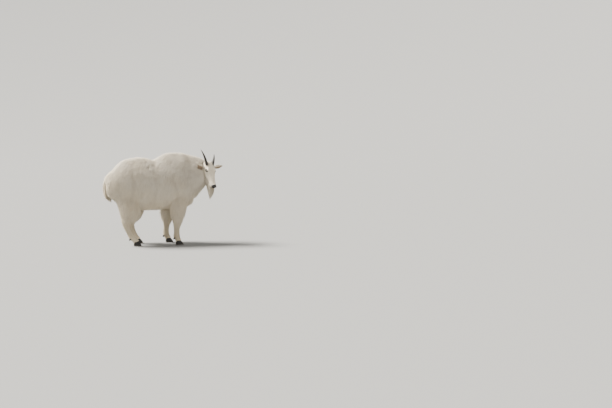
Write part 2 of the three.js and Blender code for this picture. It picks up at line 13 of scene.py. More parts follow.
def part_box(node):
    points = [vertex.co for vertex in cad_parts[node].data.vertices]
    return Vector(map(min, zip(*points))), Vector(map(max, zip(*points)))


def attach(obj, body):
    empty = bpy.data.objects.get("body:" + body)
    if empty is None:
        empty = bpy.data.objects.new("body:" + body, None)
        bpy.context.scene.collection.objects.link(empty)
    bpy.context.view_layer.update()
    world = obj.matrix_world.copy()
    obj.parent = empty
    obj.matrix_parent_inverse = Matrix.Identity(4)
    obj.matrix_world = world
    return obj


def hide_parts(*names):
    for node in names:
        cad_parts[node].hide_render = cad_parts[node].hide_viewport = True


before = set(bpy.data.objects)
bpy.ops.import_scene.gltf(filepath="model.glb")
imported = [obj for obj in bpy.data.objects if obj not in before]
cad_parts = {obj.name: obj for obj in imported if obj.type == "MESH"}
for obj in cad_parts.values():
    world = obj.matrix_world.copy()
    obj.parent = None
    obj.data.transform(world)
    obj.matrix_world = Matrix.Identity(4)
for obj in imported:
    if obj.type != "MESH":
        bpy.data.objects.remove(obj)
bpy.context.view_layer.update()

bl_info = {
    "name": "Mountain goat",
    "version": (1, 0, 0),
    "blender": (4, 5, 0),
    "location": "3D View > Sidebar > Goat",
    "description": "Dresses a mountain goat in skin, coat, eyes, horns and hooves",
    "category": "Object",
}

MM = 0.001
ACROSS = np.array([0.0, 1.0, 0.0])
UPWARD = np.array([0.0, 0.0, 1.0])
SIDES = {"left": 1, "right": -1}
LEGS = ("left_foreleg", "right_foreleg", "left_hind_leg", "right_hind_leg")
BAKE_MAP = "OFBake"
PATCH = 0.003


# ---- Places on the goat -------------------------------------------------------------------------


def unit(v):
    v = np.asarray(v, float)
    return v / np.maximum(np.linalg.norm(v, axis=-1, keepdims=True), 1e-12)


def turned(v, axis, angle):
    """A direction turned about an axis."""
    return (
        v * math.cos(angle)
        + np.cross(axis, v) * math.sin(angle)
        + axis * (axis @ v) * (1 - math.cos(angle))
    )


def smooth(value, low, high):
    """From 0 at low to 1 at high, with a soft start and end."""
    s = np.clip((np.asarray(value, float) - low) / (high - low), 0, 1)
    return s * s * (3 - 2 * s)


HEAD_TURN, FACE_SLOPE, HEAD_TILT = (math.radians(a) for a in (68, 61.5, 2.5))
POLL = np.array([605.0, -51.0, 852.0])
AHEAD = np.array([math.cos(HEAD_TURN), -math.sin(HEAD_TURN), 0.0])
DOWN_FACE = turned(
    AHEAD * math.cos(FACE_SLOPE) - UPWARD * math.sin(FACE_SLOPE), AHEAD, -HEAD_TILT
)
OUT_OF_FACE = turned(
    AHEAD * math.sin(FACE_SLOPE) + UPWARD * math.cos(FACE_SLOPE), AHEAD, -HEAD_TILT
)
HEAD_LEFT = turned(
    np.array([math.sin(HEAD_TURN), math.cos(HEAD_TURN), 0.0]), AHEAD, -HEAD_TILT
)
HEAD_AXES = np.array([DOWN_FACE, OUT_OF_FACE, HEAD_LEFT])


def on_head(down, out, left):
    """A place on the head: down the face from the poll, out of it, and to its left, in mm."""
    return POLL + np.array([down, out, left], float) @ HEAD_AXES


def along_head(down, out, left):
    return unit(np.array([down, out, left], float) @ HEAD_AXES)


# Places on the head as on_head takes them, and half sizes down the face, out of it and across
EYE = {"place": (104, 19, 41), "radius": 15.5, "lid": 18.6}
ALMOND = {"half": 13.5, "high": 9.0, "deep": 40.0}
EAR = {"place": (58, -4, 46), "long": 112.0, "half": 22.0, "thick": 2.6}
EAR_AWAY = {"left": along_head(-0.06, 0.25, 0.87), "right": along_head(-0.2, 0.32, -0.85)}
EAR_LOW = {"left": -1, "right": 1}
HORN = {"place": (42, 24, 33), "radius": 16.5, "blunt": 2.0, "taper": 0.66}
HORN_BEND = {"lean": 32, "sweep": 46, "spread": 17}
HORN_LONG = {"left": 128, "right": 178}
NOSE = {"place": (273, 13, 0), "sizes": (23, 24, 27)}
NOSE_PAD = {"place": (281, 16, 0), "sizes": (26, 25, 32.5)}
NOSE_STRIP = {"place": (292, -4, 0), "sizes": (12, 15, 8)}
WING = {"place": (279, 13, 17), "sizes": (14, 14, 11)}
CHIN = {"place": (254, -26, 0), "sizes": (24, 15, 23)}
LIP = {"place": (246, -2, 18), "sizes": (30, 17, 17)}
BROW = {"place": (86, 22, 34), "sizes": (30, 13, 16)}
LIP_LINE = -13.0
GLAND = (20, 28, 33)

LOW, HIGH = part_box("left_eye")
SHIFT = np.array((LOW + HIGH) / 2) - on_head(*EYE["place"]) * MM


def metres(place):
    """A place in the goat's own millimetres as a place in the frame."""
    return np.asarray(place, float) * MM + SHIFT


def millimetres(place):
    return (np.asarray(place, float) - SHIFT) / MM


def head_place(places):
    """Places in the frame as (down, out, left) on the head, in millimetres."""
    return (millimetres(places) - POLL) @ HEAD_AXES.T


class Loft:
    """Cross-sections along a path: centre x, y, z, half width, reach up and down, and peak."""

    def __init__(self, rows, side=ACROSS):
        self.table = np.array([[*row, 2.0][:7] for row in rows], float)
        self.side = np.asarray(side, float)

    def row(self, t):
        last = len(self.table) - 1
        at = np.clip(np.asarray(t, float), 0, 1) * last
        i = np.minimum(at.astype(int), last - 1)
        f = (at - i)[..., None]
        a, b, c, d = (self.table[np.clip(i + k, 0, last)] for k in (-1, 0, 1, 2))
        return b + f * (c - a + f * (2 * a - 5 * b + 4 * c - d + f * (3 * (b - c) + d - a))) / 2

    def axes(self, t):
        step = 0.01
        t = np.asarray(t, float)
        ahead, behind = self.row(np.minimum(t + step, 1)), self.row(np.maximum(t - step, 0))
        tangent = unit(ahead[..., :3] - behind[..., :3])
        side = unit(self.side - (tangent @ self.side)[..., None] * tangent)
        return side, np.cross(tangent, side)

    def at(self, t, angle):
        """Places on the surface in the frame, at t along the path and at an angle round it."""
        t, angle = np.broadcast_arrays(np.asarray(t, float), np.asarray(angle, float))
        row = self.row(t)
        side, up = self.axes(t)
        c, s = np.cos(angle), np.sin(angle)
        peak = np.where(s > 0, row[..., 6], 2)
        across = row[..., 3] * np.sign(c) * np.abs(c) ** (2 / peak)
        reach = np.where(s > 0, row[..., 4], row[..., 5])
        rise = reach * np.sign(s) * np.abs(s) ** (2 / np.maximum(peak, 1.8))
        return metres(row[..., :3] + across[..., None] * side + rise[..., None] * up)


TRUNK = Loft(
    [
        (-447, 0, 650, 38, 36, 40),
        (-427, 0, 648, 84, 92, 95),
        (-370, 0, 634, 118, 166, 152),
        (-288, 0, 626, 140, 238, 190),
        (-195, 0, 620, 152, 268, 217),
        (-108, 0, 614, 158, 281, 223),
        (-25, 0, 611, 161, 270, 222),
        (45, 0, 610, 161, 250, 220),
        (110, 0, 612, 158, 282, 220, 1.8),
        (200, 0, 618, 152, 318, 222, 1.65),
        (300, 0, 630, 146, 318, 228, 1.6),
        (380, 0, 645, 130, 290, 222, 1.6),
        (432, 0, 652, 102, 218, 170, 1.8),
        (462, 0, 645, 64, 120, 100),
        (474, 0, 642, 32, 50, 45),
    ]
)
NECK = Loft(
    [
        (290, 0, 700, 122, 238, 225, 1.7),
        (385, 0, 692, 118, 254, 214, 1.6),
        (465, -2, 715, 104, 222, 148, 1.65),
        (530, -12, 745, 90, 176, 112, 1.8),
        (574, -32, 768, 78, 130, 88),
        (600, -50, 782, 60, 84, 68),
    ]
)
TAIL = Loft(
    [
        (-415, 0, 700, 16, 16, 16),
        (-440, 0, 668, 25, 20, 20),
        (-450, 0, 618, 25, 18, 18),
        (-440, 0, 566, 19, 15, 15),
        (-424, 0, 520, 11, 9, 9),
    ]
)
# Down the face, half width, and reach out of the forehead and down to the jaw
FACE_ROWS = [
    (0, 40, 28, 40),
    (24, 54, 41, 64),
    (62, 60, 45, 84),
    (104, 60, 41, 98),
    (140, 50, 36, 88),
    (180, 41, 31, 67),
    (216, 35, 27, 52),
    (246, 33, 25, 45),
    (267, 30, 22, 38),
    (281, 21, 14, 27),
]
FACE_LONG = FACE_ROWS[-1][0]


def head_loft(slimmer=0.0):
    """The head without its forms, slimmer all round where asked, from poll to muzzle."""
    rows = []
    for down, *girth in FACE_ROWS:
        middle = on_head(down * (1 - slimmer / FACE_LONG), 0, 0)
        rows.append((*middle, *(reach - slimmer for reach in girth)))
    return Loft(rows, HEAD_LEFT)


HEAD = head_loft()
# Height, half width, and reach ahead and behind, down a leg
FORE_GIRTH = [
    (640, 46, 76, 76),
    (520, 52, 88, 84),
    (430, 51, 76, 72),
    (340, 46, 60, 58),
    (262, 35, 41, 41),
    (222, 31, 33, 34),
    (196, 26, 28, 30),
    (140, 22, 23, 26),
    (90, 27, 26, 32),
    (58, 24, 25, 27),
    (38, 27, 32, 30),
]
HIND_GIRTH = [
    (700, 44, 100, 84),
    (600, 55, 130, 98),
    (500, 58, 132, 92),
    (410, 57, 126, 78),
    (330, 48, 102, 74),
    (268, 37, 66, 52),
    (232, 31, 42, 38),
    (200, 27, 33, 34),
    (140, 23, 26, 27),
    (90, 27, 27, 32),
    (58, 24, 25, 27),
    (38, 27, 32, 30),
]
# How far ahead each leg's middle lies at those heights
STANCE = {
    "right_foreleg": (308, 296, 288, 283, 276, 272, 269, 267, 268, 277, 286),
    "left_foreleg": (284, 262, 240, 216, 196, 187, 183, 178, 178, 190, 201),
    "right_hind_leg": (-306, -286, -262, -240, -236, -246, -252, -246, -222, -193, -170, -153),
    "left_hind_leg": (-292, -264, -222, -188, -178, -190, -200, -196, -179, -158, -137, -120),
}
HALF_TRACK = 100


def leg_rows(name):
    girth = FORE_GIRTH if name.endswith("foreleg") else HIND_GIRTH
    sign = SIDES[name.split("_")[0]]
    rows = []
    for ahead, (height, half, fore, back) in zip(STANCE[name], girth):
        aside = HALF_TRACK - 20 * smooth(height, 420, 560) - 9 * smooth(height, 200, 600)
        rows.append((ahead, sign * float(aside), height, half, fore, back))
    return rows


LEG_LOFTS = {name: Loft(leg_rows(name)) for name in LEGS}


# ---- Making meshes ------------------------------------------------------------------------------


def ring(bm, places):
    """A circle whose vertices are moved to the given places. Returns its edges."""
    made = bmesh.ops.create_circle(bm, cap_ends=False, segments=len(places), radius=1)
    for vertex, place in zip(made["verts"], places):
        vertex.co = place
    return list({edge for vertex in made["verts"] for edge in vertex.link_edges})


def add_tube(bm, sections):
    """A closed tube through rings of places, with its ends filled."""
    first = before = ring(bm, sections[0])
    for places in sections[1:]:
        after = ring(bm, places)
        bmesh.ops.bridge_loops(bm, edges=before + after)
        before = after
    for edges in (first, before):
        bmesh.ops.contextual_create(bm, geom=edges)


def rounded(bm):
    """Takes the sharpness off a shape."""
    axes = {f"use_axis_{axis}": True for axis in "xyz"}
    bmesh.ops.smooth_vert(bm, verts=bm.verts, factor=0.5, **axes)


def loft_sections(loft, around, along):
    angles = np.linspace(0, 2 * math.pi, around, endpoint=False)
    return [loft.at(np.full(around, t), angles) for t in np.linspace(0, 1, along)]


def add_egg(bm, place, sizes, sign=1, fine=3):
    """An egg set on the head, on the side that sign names."""
    down, out, aside = place
    axes = Matrix([list(HEAD_AXES[k] * sizes[k] * MM) for k in range(3)]).transposed().to_4x4()
    at = Matrix.Translation(Vector(metres(on_head(down, out, sign * aside))))
    bmesh.ops.create_icosphere(bm, subdivisions=fine, radius=1, matrix=at @ axes)


def object_from(bm, name):
    """A finished bmesh as an object whose faces point outwards."""
    bmesh.ops.remove_doubles(bm, verts=bm.verts, dist=1e-7)
    bmesh.ops.recalc_face_normals(bm, faces=bm.faces)
    mesh = bpy.data.meshes.new(name)
    bm.to_mesh(mesh)
    bm.free()
    made = bpy.data.objects.new(name, mesh)
    bpy.context.scene.collection.objects.link(made)
    return made


def applied(piece, kind, **settings):
    """The piece with one modifier added and applied."""
    modifier = piece.modifiers.new(kind.title(), kind)
    for key, value in settings.items():
        setattr(modifier, key, value)
    bpy.context.view_layer.update()
    graph = bpy.context.evaluated_depsgraph_get()
    mesh = bpy.data.meshes.new_from_object(piece.evaluated_get(graph))
    piece.modifiers.clear()
    old, piece.data = piece.data, mesh
    bpy.data.meshes.remove(old)
    if not mesh.polygons:
        raise RuntimeError(f"{piece.name} lost its faces in {kind}")
    return piece


def combined(piece, other, operation):
    """The piece joined with another, or cut by it, which is then removed."""
    applied(piece, "BOOLEAN", operation=operation, object=other, solver="MANIFOLD")
    bpy.data.objects.remove(other)
    return piece


def places_of(mesh):
    co = np.empty(len(mesh.vertices) * 3)
    mesh.vertices.foreach_get("co", co)
    return co.reshape(-1, 3)


def normals_of(mesh):
    out = np.empty(len(mesh.vertices) * 3)
    mesh.vertex_normals.foreach_get("vector", out)
    return out.reshape(-1, 3)


def set_places(mesh, places):
    mesh.vertices.foreach_set("co", np.asarray(places, np.float32).ravel())
    mesh.update()


def edges_of(mesh):
    pairs = np.empty(len(mesh.edges) * 2, int)
    mesh.edges.foreach_get("vertices", pairs)
    return pairs.reshape(-1, 2)


def spread_values(values, edges, rounds, share=0.5):
    """Values at the vertices, made smoother by drawing each towards its neighbours."""
    count = len(values)
    a, b = edges[:, 0], edges[:, 1]
    degree = np.maximum(np.bincount(edges.ravel(), minlength=count), 1)
    for _ in range(rounds):
        mean = np.stack(
            [
                (np.bincount(a, values[b, k], count) + np.bincount(b, values[a, k], count)) / degree
                for k in range(values.shape[1])
            ],
            axis=1,
        )
        values = values + share * (mean - values)
    return values


def softened(piece, rounds):
    """The piece with its surface smoothed, without the shrinking that plain smoothing brings."""
    mesh = piece.data
    edges, places = edges_of(mesh), places_of(mesh)
    for _ in range(rounds):
        places = spread_values(places, edges, 1, 0.5)
        places = spread_values(places, edges, 1, -0.52)
    set_places(mesh, places)
    return piece


def finished(piece, material, slot, *nodes):
    """Gives a piece its material, smooth faces, body and the nodes that it replaces. Its slot is
    not used.
    """
    piece.data.materials.clear()
    piece.data.materials.append(material)
    piece.data.polygons.foreach_set("use_smooth", [True] * len(piece.data.polygons))
    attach(piece, "root")
    if nodes:
        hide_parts(*nodes)
    return piece


# ---- Materials ----------------------------------------------------------------------------------


class Value:
    """A socket with a number on it, on which Python's own signs add Math nodes."""

    def __init__(self, paint, socket):
        self.paint = paint
        self.socket = socket

    def math(self, operation, *others):
        inputs = {0: self, **{i + 1: other for i, other in enumerate(others)}}
        return self.paint.node("Math", inputs, operation=operation)

    def __add__(self, other):
        return self.math("ADD", other)

    def __mul__(self, other):
        return self.math("MULTIPLY", other)

    def __sub__(self, other):
        return self.math("SUBTRACT", other)

    def __rsub__(self, other):
        return self.paint.node("Math", {0: other, 1: self}, operation="SUBTRACT")

    def __truediv__(self, other):
        return self.math("DIVIDE", other)

    def __pow__(self, other):
        return self.math("POWER", other)

    __radd__ = __add__
    __rmul__ = __mul__


class Paint:
    """A material under construction, with one method that adds any node."""

    def __init__(self, name):
        self.material = bpy.data.materials.new(name)
        self.material.use_nodes = True
        self.tree = self.material.node_tree
        self.shader = self.tree.nodes["Principled BSDF"]

    def node(self, kind, inputs=None, output=0, **settings):
        made = self.tree.nodes.new("ShaderNode" + kind)
        for key, value in settings.items():
            setattr(made, key, value)
        for key, value in (inputs or {}).items():
            self.feed(made.inputs[key], value)
        return Value(self, made.outputs[output])

    def feed(self, socket, value):
        if isinstance(value, Value):
            self.tree.links.new(value.socket, socket)
        else:
            socket.default_value = value

    def set(self, **inputs):
        """Sets or links the shader's own sockets, with _ for a space in a name."""
        for key, value in inputs.items():
            self.feed(self.shader.inputs[key.replace("_", " ")], value)

    def place(self):
        return self.node("TexCoord", output="Object")

    def attribute(self, name):
        return self.node("Attribute", output="Fac", attribute_name=name)

    def noise(self, where, scale, detail=3.0, rough=0.55, stretch=None):
        if stretch:
            where = self.node("Mapping", {"Vector": where, "Scale": stretch})
        inputs = {"Vector": where, "Scale": scale, "Detail": detail, "Roughness": rough}
        return self.node("TexNoise", inputs, output="Fac")

    def ramp(self, value, low, high):
        """A soft step from 0 at low to 1 at high."""
        inputs = {"Value": value, "From Min": low, "From Max": high}
        return self.node("MapRange", inputs, interpolation_type="SMOOTHSTEP")

    def mix(self, factor, first, second):
        inputs = {0: factor, 6: first, 7: second}
        return self.node("Mix", inputs, output=2, data_type="RGBA")

    def along(self, where, direction, origin=(0, 0, 0)):
        """How far a place lies along a direction from an origin."""
        direction = np.asarray(direction, float)
        dot = self.node(
            "VectorMath", {0: where, 1: tuple(direction)}, output="Value", operation="DOT_PRODUCT"
        )
        return dot - float(direction @ np.asarray(origin, float))

    def distance(self, where, origin):
        inputs = {0: where, 1: tuple(float(v) for v in origin)}
        return self.node("VectorMath", inputs, output="Value", operation="DISTANCE")

    def bump(self, height, strength, distance):
        inputs = {"Height": height, "Strength": strength, "Distance": distance}
        return self.node("Bump", inputs, output="Normal")


def rgba(colour):
    return (*tuple(colour)[:3], 1.0)


def eye_axes(sign):
    """The centre of an eye, its gaze, its slit's direction and its upward direction."""
    down, out, aside = EYE["place"]
    gaze = along_head(-0.12, 0.42, sign * 0.9)
    slit = along_head(0.86, 0.46, sign * -0.06)
    slit = unit(slit - (slit @ gaze) * gaze)
    return metres(on_head(down, out, sign * aside)), gaze, slit, np.cross(gaze, slit)


def ear_axes(side):
    """The root of an ear, the way it points, the way it faces and the way across it."""
    away = EAR_AWAY[side]
    facing = along_head(0.45, 0.85, 0)
    facing = unit(facing - (facing @ away) * away)
    down, out, aside = EAR["place"]
    return metres(on_head(down, out, SIDES[side] * aside)), away, facing, np.cross(facing, away)


def markings(paint, where, colours):
    """The coat's colours over the whole goat, with painted clump shade, which skin and hair share,
    and how dark it is.
    """
    white, cream, dark = (rgba(c) for c in (colours.white, colours.cream, colours.dark))
    height = paint.along(where, (0, 0, 1))
    ahead = paint.along(where, (1, 0, 0))
    cloud = paint.noise(where, 5.0, 4.0)
    fine = paint.noise(where, 26.0, 3.0)
    ragged = (paint.noise(where, 240.0, 2.0) - 0.5) * 0.35
    legs = paint.ramp(height, 0.5, 0.12) * 0.7
    rump = paint.ramp(ahead, -0.36, -0.6) * 0.45
    belly = paint.ramp(height, 0.66, 0.36) * 0.5
    tint = legs.math("MAXIMUM", rump).math("MAXIMUM", belly) * 0.8
    tint = tint + paint.ramp(cloud, 0.42, 0.66) * 0.25
    tint = (tint * (0.6 + fine * 0.8)).math("MINIMUM", 1.0)
    colour = paint.mix(tint, white, cream)
    # Painted shade: clump-sized patches drawn towards the root colour, as if neighbouring locks
    # shaded one another.
    clump_shade = paint.noise(where, 13.0, 3.0, 0.6, (1.0, 1.0, 0.3))
    colour = paint.mix(paint.ramp(clump_shade, 0.48, 0.72) * 0.35, colour, rgba(colours.root))
    black = nose_mask(paint, where, ragged)
    nose = black
    for side, sign in SIDES.items():
        spot = paint.distance(where, metres(on_head(*GLAND[:2], sign * GLAND[2])))
        black = black.math("MAXIMUM", paint.ramp(spot + ragged * 0.02, 0.026, 0.015) * 0.9)
        centre, gaze, slit, up = eye_axes(sign)
        a = paint.along(where, slit, centre) / (ALMOND["half"] * MM)
        b = paint.along(where, up, centre) / (ALMOND["high"] * MM)
        depth = paint.ramp(paint.along(where, gaze, centre), 0.0, 0.006)
        rim = paint.ramp((a * a + b * b).math("SQRT") + ragged * 0.4, 1.7, 1.42)
        black = black.math("MAXIMUM", rim * depth * 0.97)
        root, away, facing, across = ear_axes(side)
        drop = paint.along(where, across * EAR_LOW[side], root)
        low = paint.ramp(drop, -0.007, 0.006) * paint.ramp(drop, 0.044, 0.034)
        low = low * paint.ramp(paint.along(where, away, root), 0.018, 0.034)
        leaf = paint.ramp(paint.along(where, facing, root).math("ABSOLUTE"), 0.034, 0.026)
        colour = paint.mix(low * leaf * 0.85, colour, rgba(colours.ear))
    forward = paint.along(where, DOWN_FACE, metres(POLL))
    line = paint.along(where, OUT_OF_FACE, metres(on_head(0, LIP_LINE, 0))).math("ABSOLUTE")
    line = paint.ramp(line + ragged * 0.003, 0.0046, 0.0018) * paint.ramp(forward, 0.212, 0.235)
    middle = paint.along(where, HEAD_LEFT, metres(POLL)).math("ABSOLUTE")
    line = line * paint.ramp(middle, 0.05, 0.045)
    black = black.math("MAXIMUM", line * 0.9)
    return paint.mix(black, colour, dark), black, nose


def egg_mask(paint, where, place, sizes, ragged):
    """1 inside an egg set on the head and 0 outside it, with a ragged edge."""
    centre = metres(on_head(*place))
    squares = None
    for axis, size in zip(HEAD_AXES, sizes):
        part = paint.along(where, axis, centre) / (size * MM)
        squares = part * part if squares is None else squares + part * part
    return paint.ramp(squares + ragged, 1.15, 0.9)


def nose_mask(paint, where, ragged):
    """1 on the nose's bare pad, its wings and the strip down to the lip, and 0 off them."""
    mask = egg_mask(paint, where, **NOSE_PAD, ragged=ragged * 0.6)
    return mask.math("MAXIMUM", egg_mask(paint, where, **NOSE_STRIP, ragged=ragged))


def skin_material(colours):
    paint = Paint("goat_skin")
    where = paint.place()
    colour, black, nose = markings(paint, where, colours)
    hair = paint.noise(where, 900, 4.0, 0.7, (1.0, 1.0, 0.35))
    pebbles = paint.node("TexVoronoi", {"Vector": where, "Scale": 520.0}, output="Distance")
    height = hair * (1 - nose) * 0.8 + pebbles * nose * 1.1
    thin = paint.ramp(hair, 0.25, 0.75) * (1 - black) * 0.22
    shade = paint.mix(thin, colour, rgba(colours.cream))
    rough = 0.9 - black * 0.25 - nose * 0.22
    paint.set(Base_Color=paint.mix(nose, shade, colour), Roughness=rough)
    paint.set(Normal=paint.bump(height, 0.7, 0.0016))
    return paint.material


def coat_material(colours):
    paint = Paint("goat_coat")
    where = paint.place()
    colour, _, _ = markings(paint, where, colours)
    tip = paint.attribute("tip")
    tuft = paint.attribute("tuft")
    # Painted shade: each hair darkens towards its root, where the tufts shade one another, with a
    # random darker tone per lock and tuft on top.
    deep = paint.ramp(tip, 0.75, 0.0) * 0.5 + tuft * 0.4
    colour = paint.mix(deep, colour, rgba(colours.root))
    paint.set(Base_Color=colour, Roughness=0.78 - tip * 0.1)
    paint.set(Specular_IOR_Level=0.3)
    return paint.material


def horn_material(colours):
    paint = Paint("goat_horn")
    where = paint.place()
    grain = paint.noise(where, 160, 5.0, 0.6, (1.0, 1.0, 0.18))
    wear = paint.noise(where, 40, 3.0)
    warm = paint.ramp(wear * 0.5 + grain * 0.5, 0.45, 0.75)
    paint.set(Base_Color=paint.mix(warm * 0.5, rgba(colours.horn), rgba(colours.horn_worn)))
    paint.set(Roughness=0.3 + grain * 0.3, Normal=paint.bump(grain, 0.35, 0.0012))
    return paint.material


def hoof_material(colours):
    paint = Paint("goat_hoof")
    where = paint.place()
    height = paint.along(where, (0, 0, 1))
    grain = paint.noise(where, 220, 5.0, 0.65, (1.0, 1.0, 0.3))
    rings = paint.noise(where, 30, 2.0, 0.5, (0.4, 0.4, 14.0))
    dust = paint.ramp(height, 0.016, 0.0) * 0.6 + paint.ramp(grain, 0.5, 0.8) * 0.3
    paint.set(Base_Color=paint.mix(dust, rgba(colours.horn), rgba(colours.dust)))
    paint.set(Roughness=0.45 + grain * 0.3)
    paint.set(Normal=paint.bump(rings * 0.7 + grain * 0.5, 0.5, 0.0014))
    return paint.material


def eye_material(colours):
    """Reads how far each place is from the pupil along the slit and across it, in eye radii."""
    paint = Paint("goat_eye")
    a, b = paint.attribute("slit"), paint.attribute("upright")
    far = (a * a + b * b).math("SQRT")
    streak = paint.noise(paint.place(), 1500, 3.0, 0.7)
    iris = paint.mix(paint.ramp(streak, 0.3, 0.7), rgba(colours.iris), rgba(colours.iris_dark))
    pupil = ((a / 0.36) ** 4.0 + (b / 0.15) ** 4.0).math("POWER", 0.25)
    colour = paint.mix(paint.ramp(pupil, 1.12, 0.92), iris, (0.002, 0.002, 0.003, 1))
    colour = paint.mix(paint.ramp(far, 0.56, 0.66), colour, (0.02, 0.012, 0.008, 1))
    paint.set(Base_Color=colour, Roughness=0.12, Coat_Weight=1.0, Coat_Roughness=0.03)
    return paint.material


def floor_material(colours):
    paint = Paint("studio_floor")
    grain = paint.noise(paint.place(), 60, 4.0)
    paint.set(Base_Color=rgba(colours.floor), Roughness=0.85)
    paint.set(Normal=paint.bump(grain, 0.04, 0.001))
    return paint.material


# ---- Skin ---------------------------------------------------------------------------------------


def body_shape():
    """The trunk, neck, tail and legs under the coat, drawn into one surface."""
    bm = bmesh.new()
    add_tube(bm, loft_sections(TRUNK, 72, 70))
    add_tube(bm, loft_sections(NECK, 64, 30))
    add_tube(bm, loft_sections(TAIL, 24, 24))
    for name in LEGS:
        add_tube(bm, loft_sections(LEG_LOFTS[name], 40, 90))
    body = applied(object_from(bm, "skin"), "REMESH", mode="VOXEL", voxel_size=0.0072)
    return softened(body, 10)


def leg_details(places, normals):
    """Hock, knee, tendons and fetlock, raised on the short-haired lower legs."""
    moved = np.zeros(len(places))
    local = millimetres(places)
    for name in LEGS:
        rows = LEG_LOFTS[name].table
        middle = [np.interp(-local[:, 2], -rows[:, 2], rows[:, k]) for k in (0, 1)]
        offset = local[:, :2] - np.stack(middle, axis=1)
        near = smooth(np.hypot(*offset.T), 62, 48) * smooth(local[:, 2], 300, 262)
        behind = smooth(-offset[:, 0], 6, 22)
        ahead = smooth(offset[:, 0], 8, 24)
        aside = smooth(np.abs(offset[:, 1]), 8, 20)
        groove = np.exp(-(((offset[:, 0] + 8) / 5) ** 2)) * smooth(local[:, 2], 96, 120)
        if name.endswith("foreleg"):
            moved += near * ahead * 3.5 * np.exp(-(((local[:, 2] - 236) / 26) ** 2))
        else:
            moved += near * behind * 9 * np.exp(-(((local[:, 2] - 262) / 20) ** 2))
        moved += near * aside * -3.2 * groove * smooth(local[:, 2], 232, 200)
        moved += near * behind * 2.5 * np.exp(-(((local[:, 2] - 92) / 12) ** 2))
    return places + normals * (moved * MM)[:, None]


# Corner, bend and front of the mouth, down the face and out of it
MOUTH_LINE = ((203, -29), (236, -11.5), (300, -12.5))


def mouth_cutter():
    """A thin blade along the line of the mouth, less the inside of the muzzle."""
    bm = bmesh.new()
    count, half = 40, 60
    s = np.linspace(0, 1, count)[:, None]
    corner, bend, front = (np.array(place, float) for place in MOUTH_LINE)
    line = (1 - s) ** 2 * corner + 2 * s * (1 - s) * bend + s**2 * front
    share = s[:, 0]
    gape = 1.15 * smooth(share, 0, 0.25) * (1 - 0.7 * smooth(share, 0.7, 0.9)) + 0.15
    outline = [(d, o + g) for (d, o), g in zip(line, gape)]
    outline += [(d, o - g) for (d, o), g in zip(line[::-1], gape[::-1])]
    for left in (-half, half):
        ring(bm, [metres(on_head(d, o, left)) for d, o in outline])
    bmesh.ops.bridge_loops(bm, edges=bm.edges[:])
    ends = [e for e in bm.edges if e.is_boundary]
    bmesh.ops.holes_fill(bm, edges=ends, sides=0)
    blade = object_from(bm, "mouth_blade")
    bm = bmesh.new()
    add_tube(bm, loft_sections(head_loft(4.5), 48, 40))
    return combined(blade, object_from(bm, "mouth_core"), "DIFFERENCE")


# Place on the head and half width along the slot
NOSTRIL = [
    (296, 2, 7, 2.0),
    (296, 6, 9.5, 4.6),
    (294, 12, 13, 5.0),
    (290, 17, 17.5, 3.6),
    (284, 20, 22, 2.2),
    (278, 20.5, 27, 1.0),
]


def nostril_cutter(sign):
    """A bent slot that runs from beside the middle of the nose, out and up."""
    rows = [(*on_head(down, out, sign * left), half, 9, 9) for down, out, left, half in NOSTRIL]
    bm = bmesh.new()
    add_tube(bm, loft_sections(Loft(rows, along_head(0.25, -0.5, sign * 0.8)), 24, 24))
    return object_from(bm, "nostril")


def eye_cutter(sign):
    """An almond-shaped opening through the lids."""
    centre, gaze, slit, up = eye_axes(sign)
    angles = np.linspace(0, 2 * math.pi, 72, endpoint=False)
    c, s = np.cos(angles), np.sin(angles)
    across = ALMOND["half"] * c
    high = ALMOND["high"] * np.sign(s) * np.abs(s) ** 1.25 * (1 + 0.12 * np.sign(s) * c)
    bm = bmesh.new()
    sections = []
    for depth in (0.0, ALMOND["deep"]):
        flare = 1 + 0.004 * depth
        offsets = (across[:, None] * slit + high[:, None] * up) * flare + depth * gaze
        sections.append(centre + offsets * MM)
    add_tube(bm, sections)
    return object_from(bm, "eye_opening")


def ear_shape(side):
    """A leaf curled into a cup, with a thin edge, whose root is sunk in the head."""
    root, away, facing, across = ear_axes(side)
    long, half = EAR["long"] * MM, EAR["half"] * MM
    outline = [0.42, 0.52, 0.86, 1, 0.86, 0.52, 0.1]
    bm = bmesh.new()
    bmesh.ops.create_grid(bm, x_segments=20, y_segments=44, size=1)
    for vertex in bm.verts:
        w, s = vertex.co.x, (vertex.co.y + 1) / 2
        width = half * np.interp(s, np.linspace(0, 1, 7), outline)
        width = min(width, half * 1.02 * math.sqrt(max(1.0 - s, 0) * 3.4))
        roll = 1.25 - 0.75 * smooth(s, 0.0, 0.8)
        turn = roll * w
        curl = width / max(math.sin(roll), 0.3)
        bow = long * 0.06 * math.sin(math.pi * s)
        place = root + away * long * s + across * curl * math.sin(turn)
        place += facing * (curl * (1 - math.cos(turn)) - bow - 0.25 * width)
        vertex.co = place
    bmesh.ops.recalc_face_normals(bm, faces=bm.faces)
    bmesh.ops.solidify(bm, geom=bm.faces[:], thickness=EAR["thick"] * MM)
    rounded(bm)
    return object_from(bm, side + "_ear_leaf")


def lump(local, place, sizes):
    """A soft rise of height 1 at a place on the head, both sides alike."""
    offset = local - np.array(place, float)
    offset[:, 2] = np.abs(local[:, 2]) - abs(place[2])
    return np.exp(-((offset / np.array(sizes, float)) ** 2).sum(axis=1))


def ridge(local, first, last, width):
    """A soft rise along a line on the head, both sides alike."""
    mirrored = local * np.array([1, 1, 0]) + np.abs(local[:, 2:]) * np.array([0, 0, 1])
    first, last = np.array(first, float), np.array(last, float)
    line = last - first
    share = np.clip(((mirrored - first) @ line) / (line @ line), 0, 1)
    gap = np.linalg.norm(mirrored - first - share[:, None] * line, axis=1)
    return np.exp(-((gap / width) ** 2))


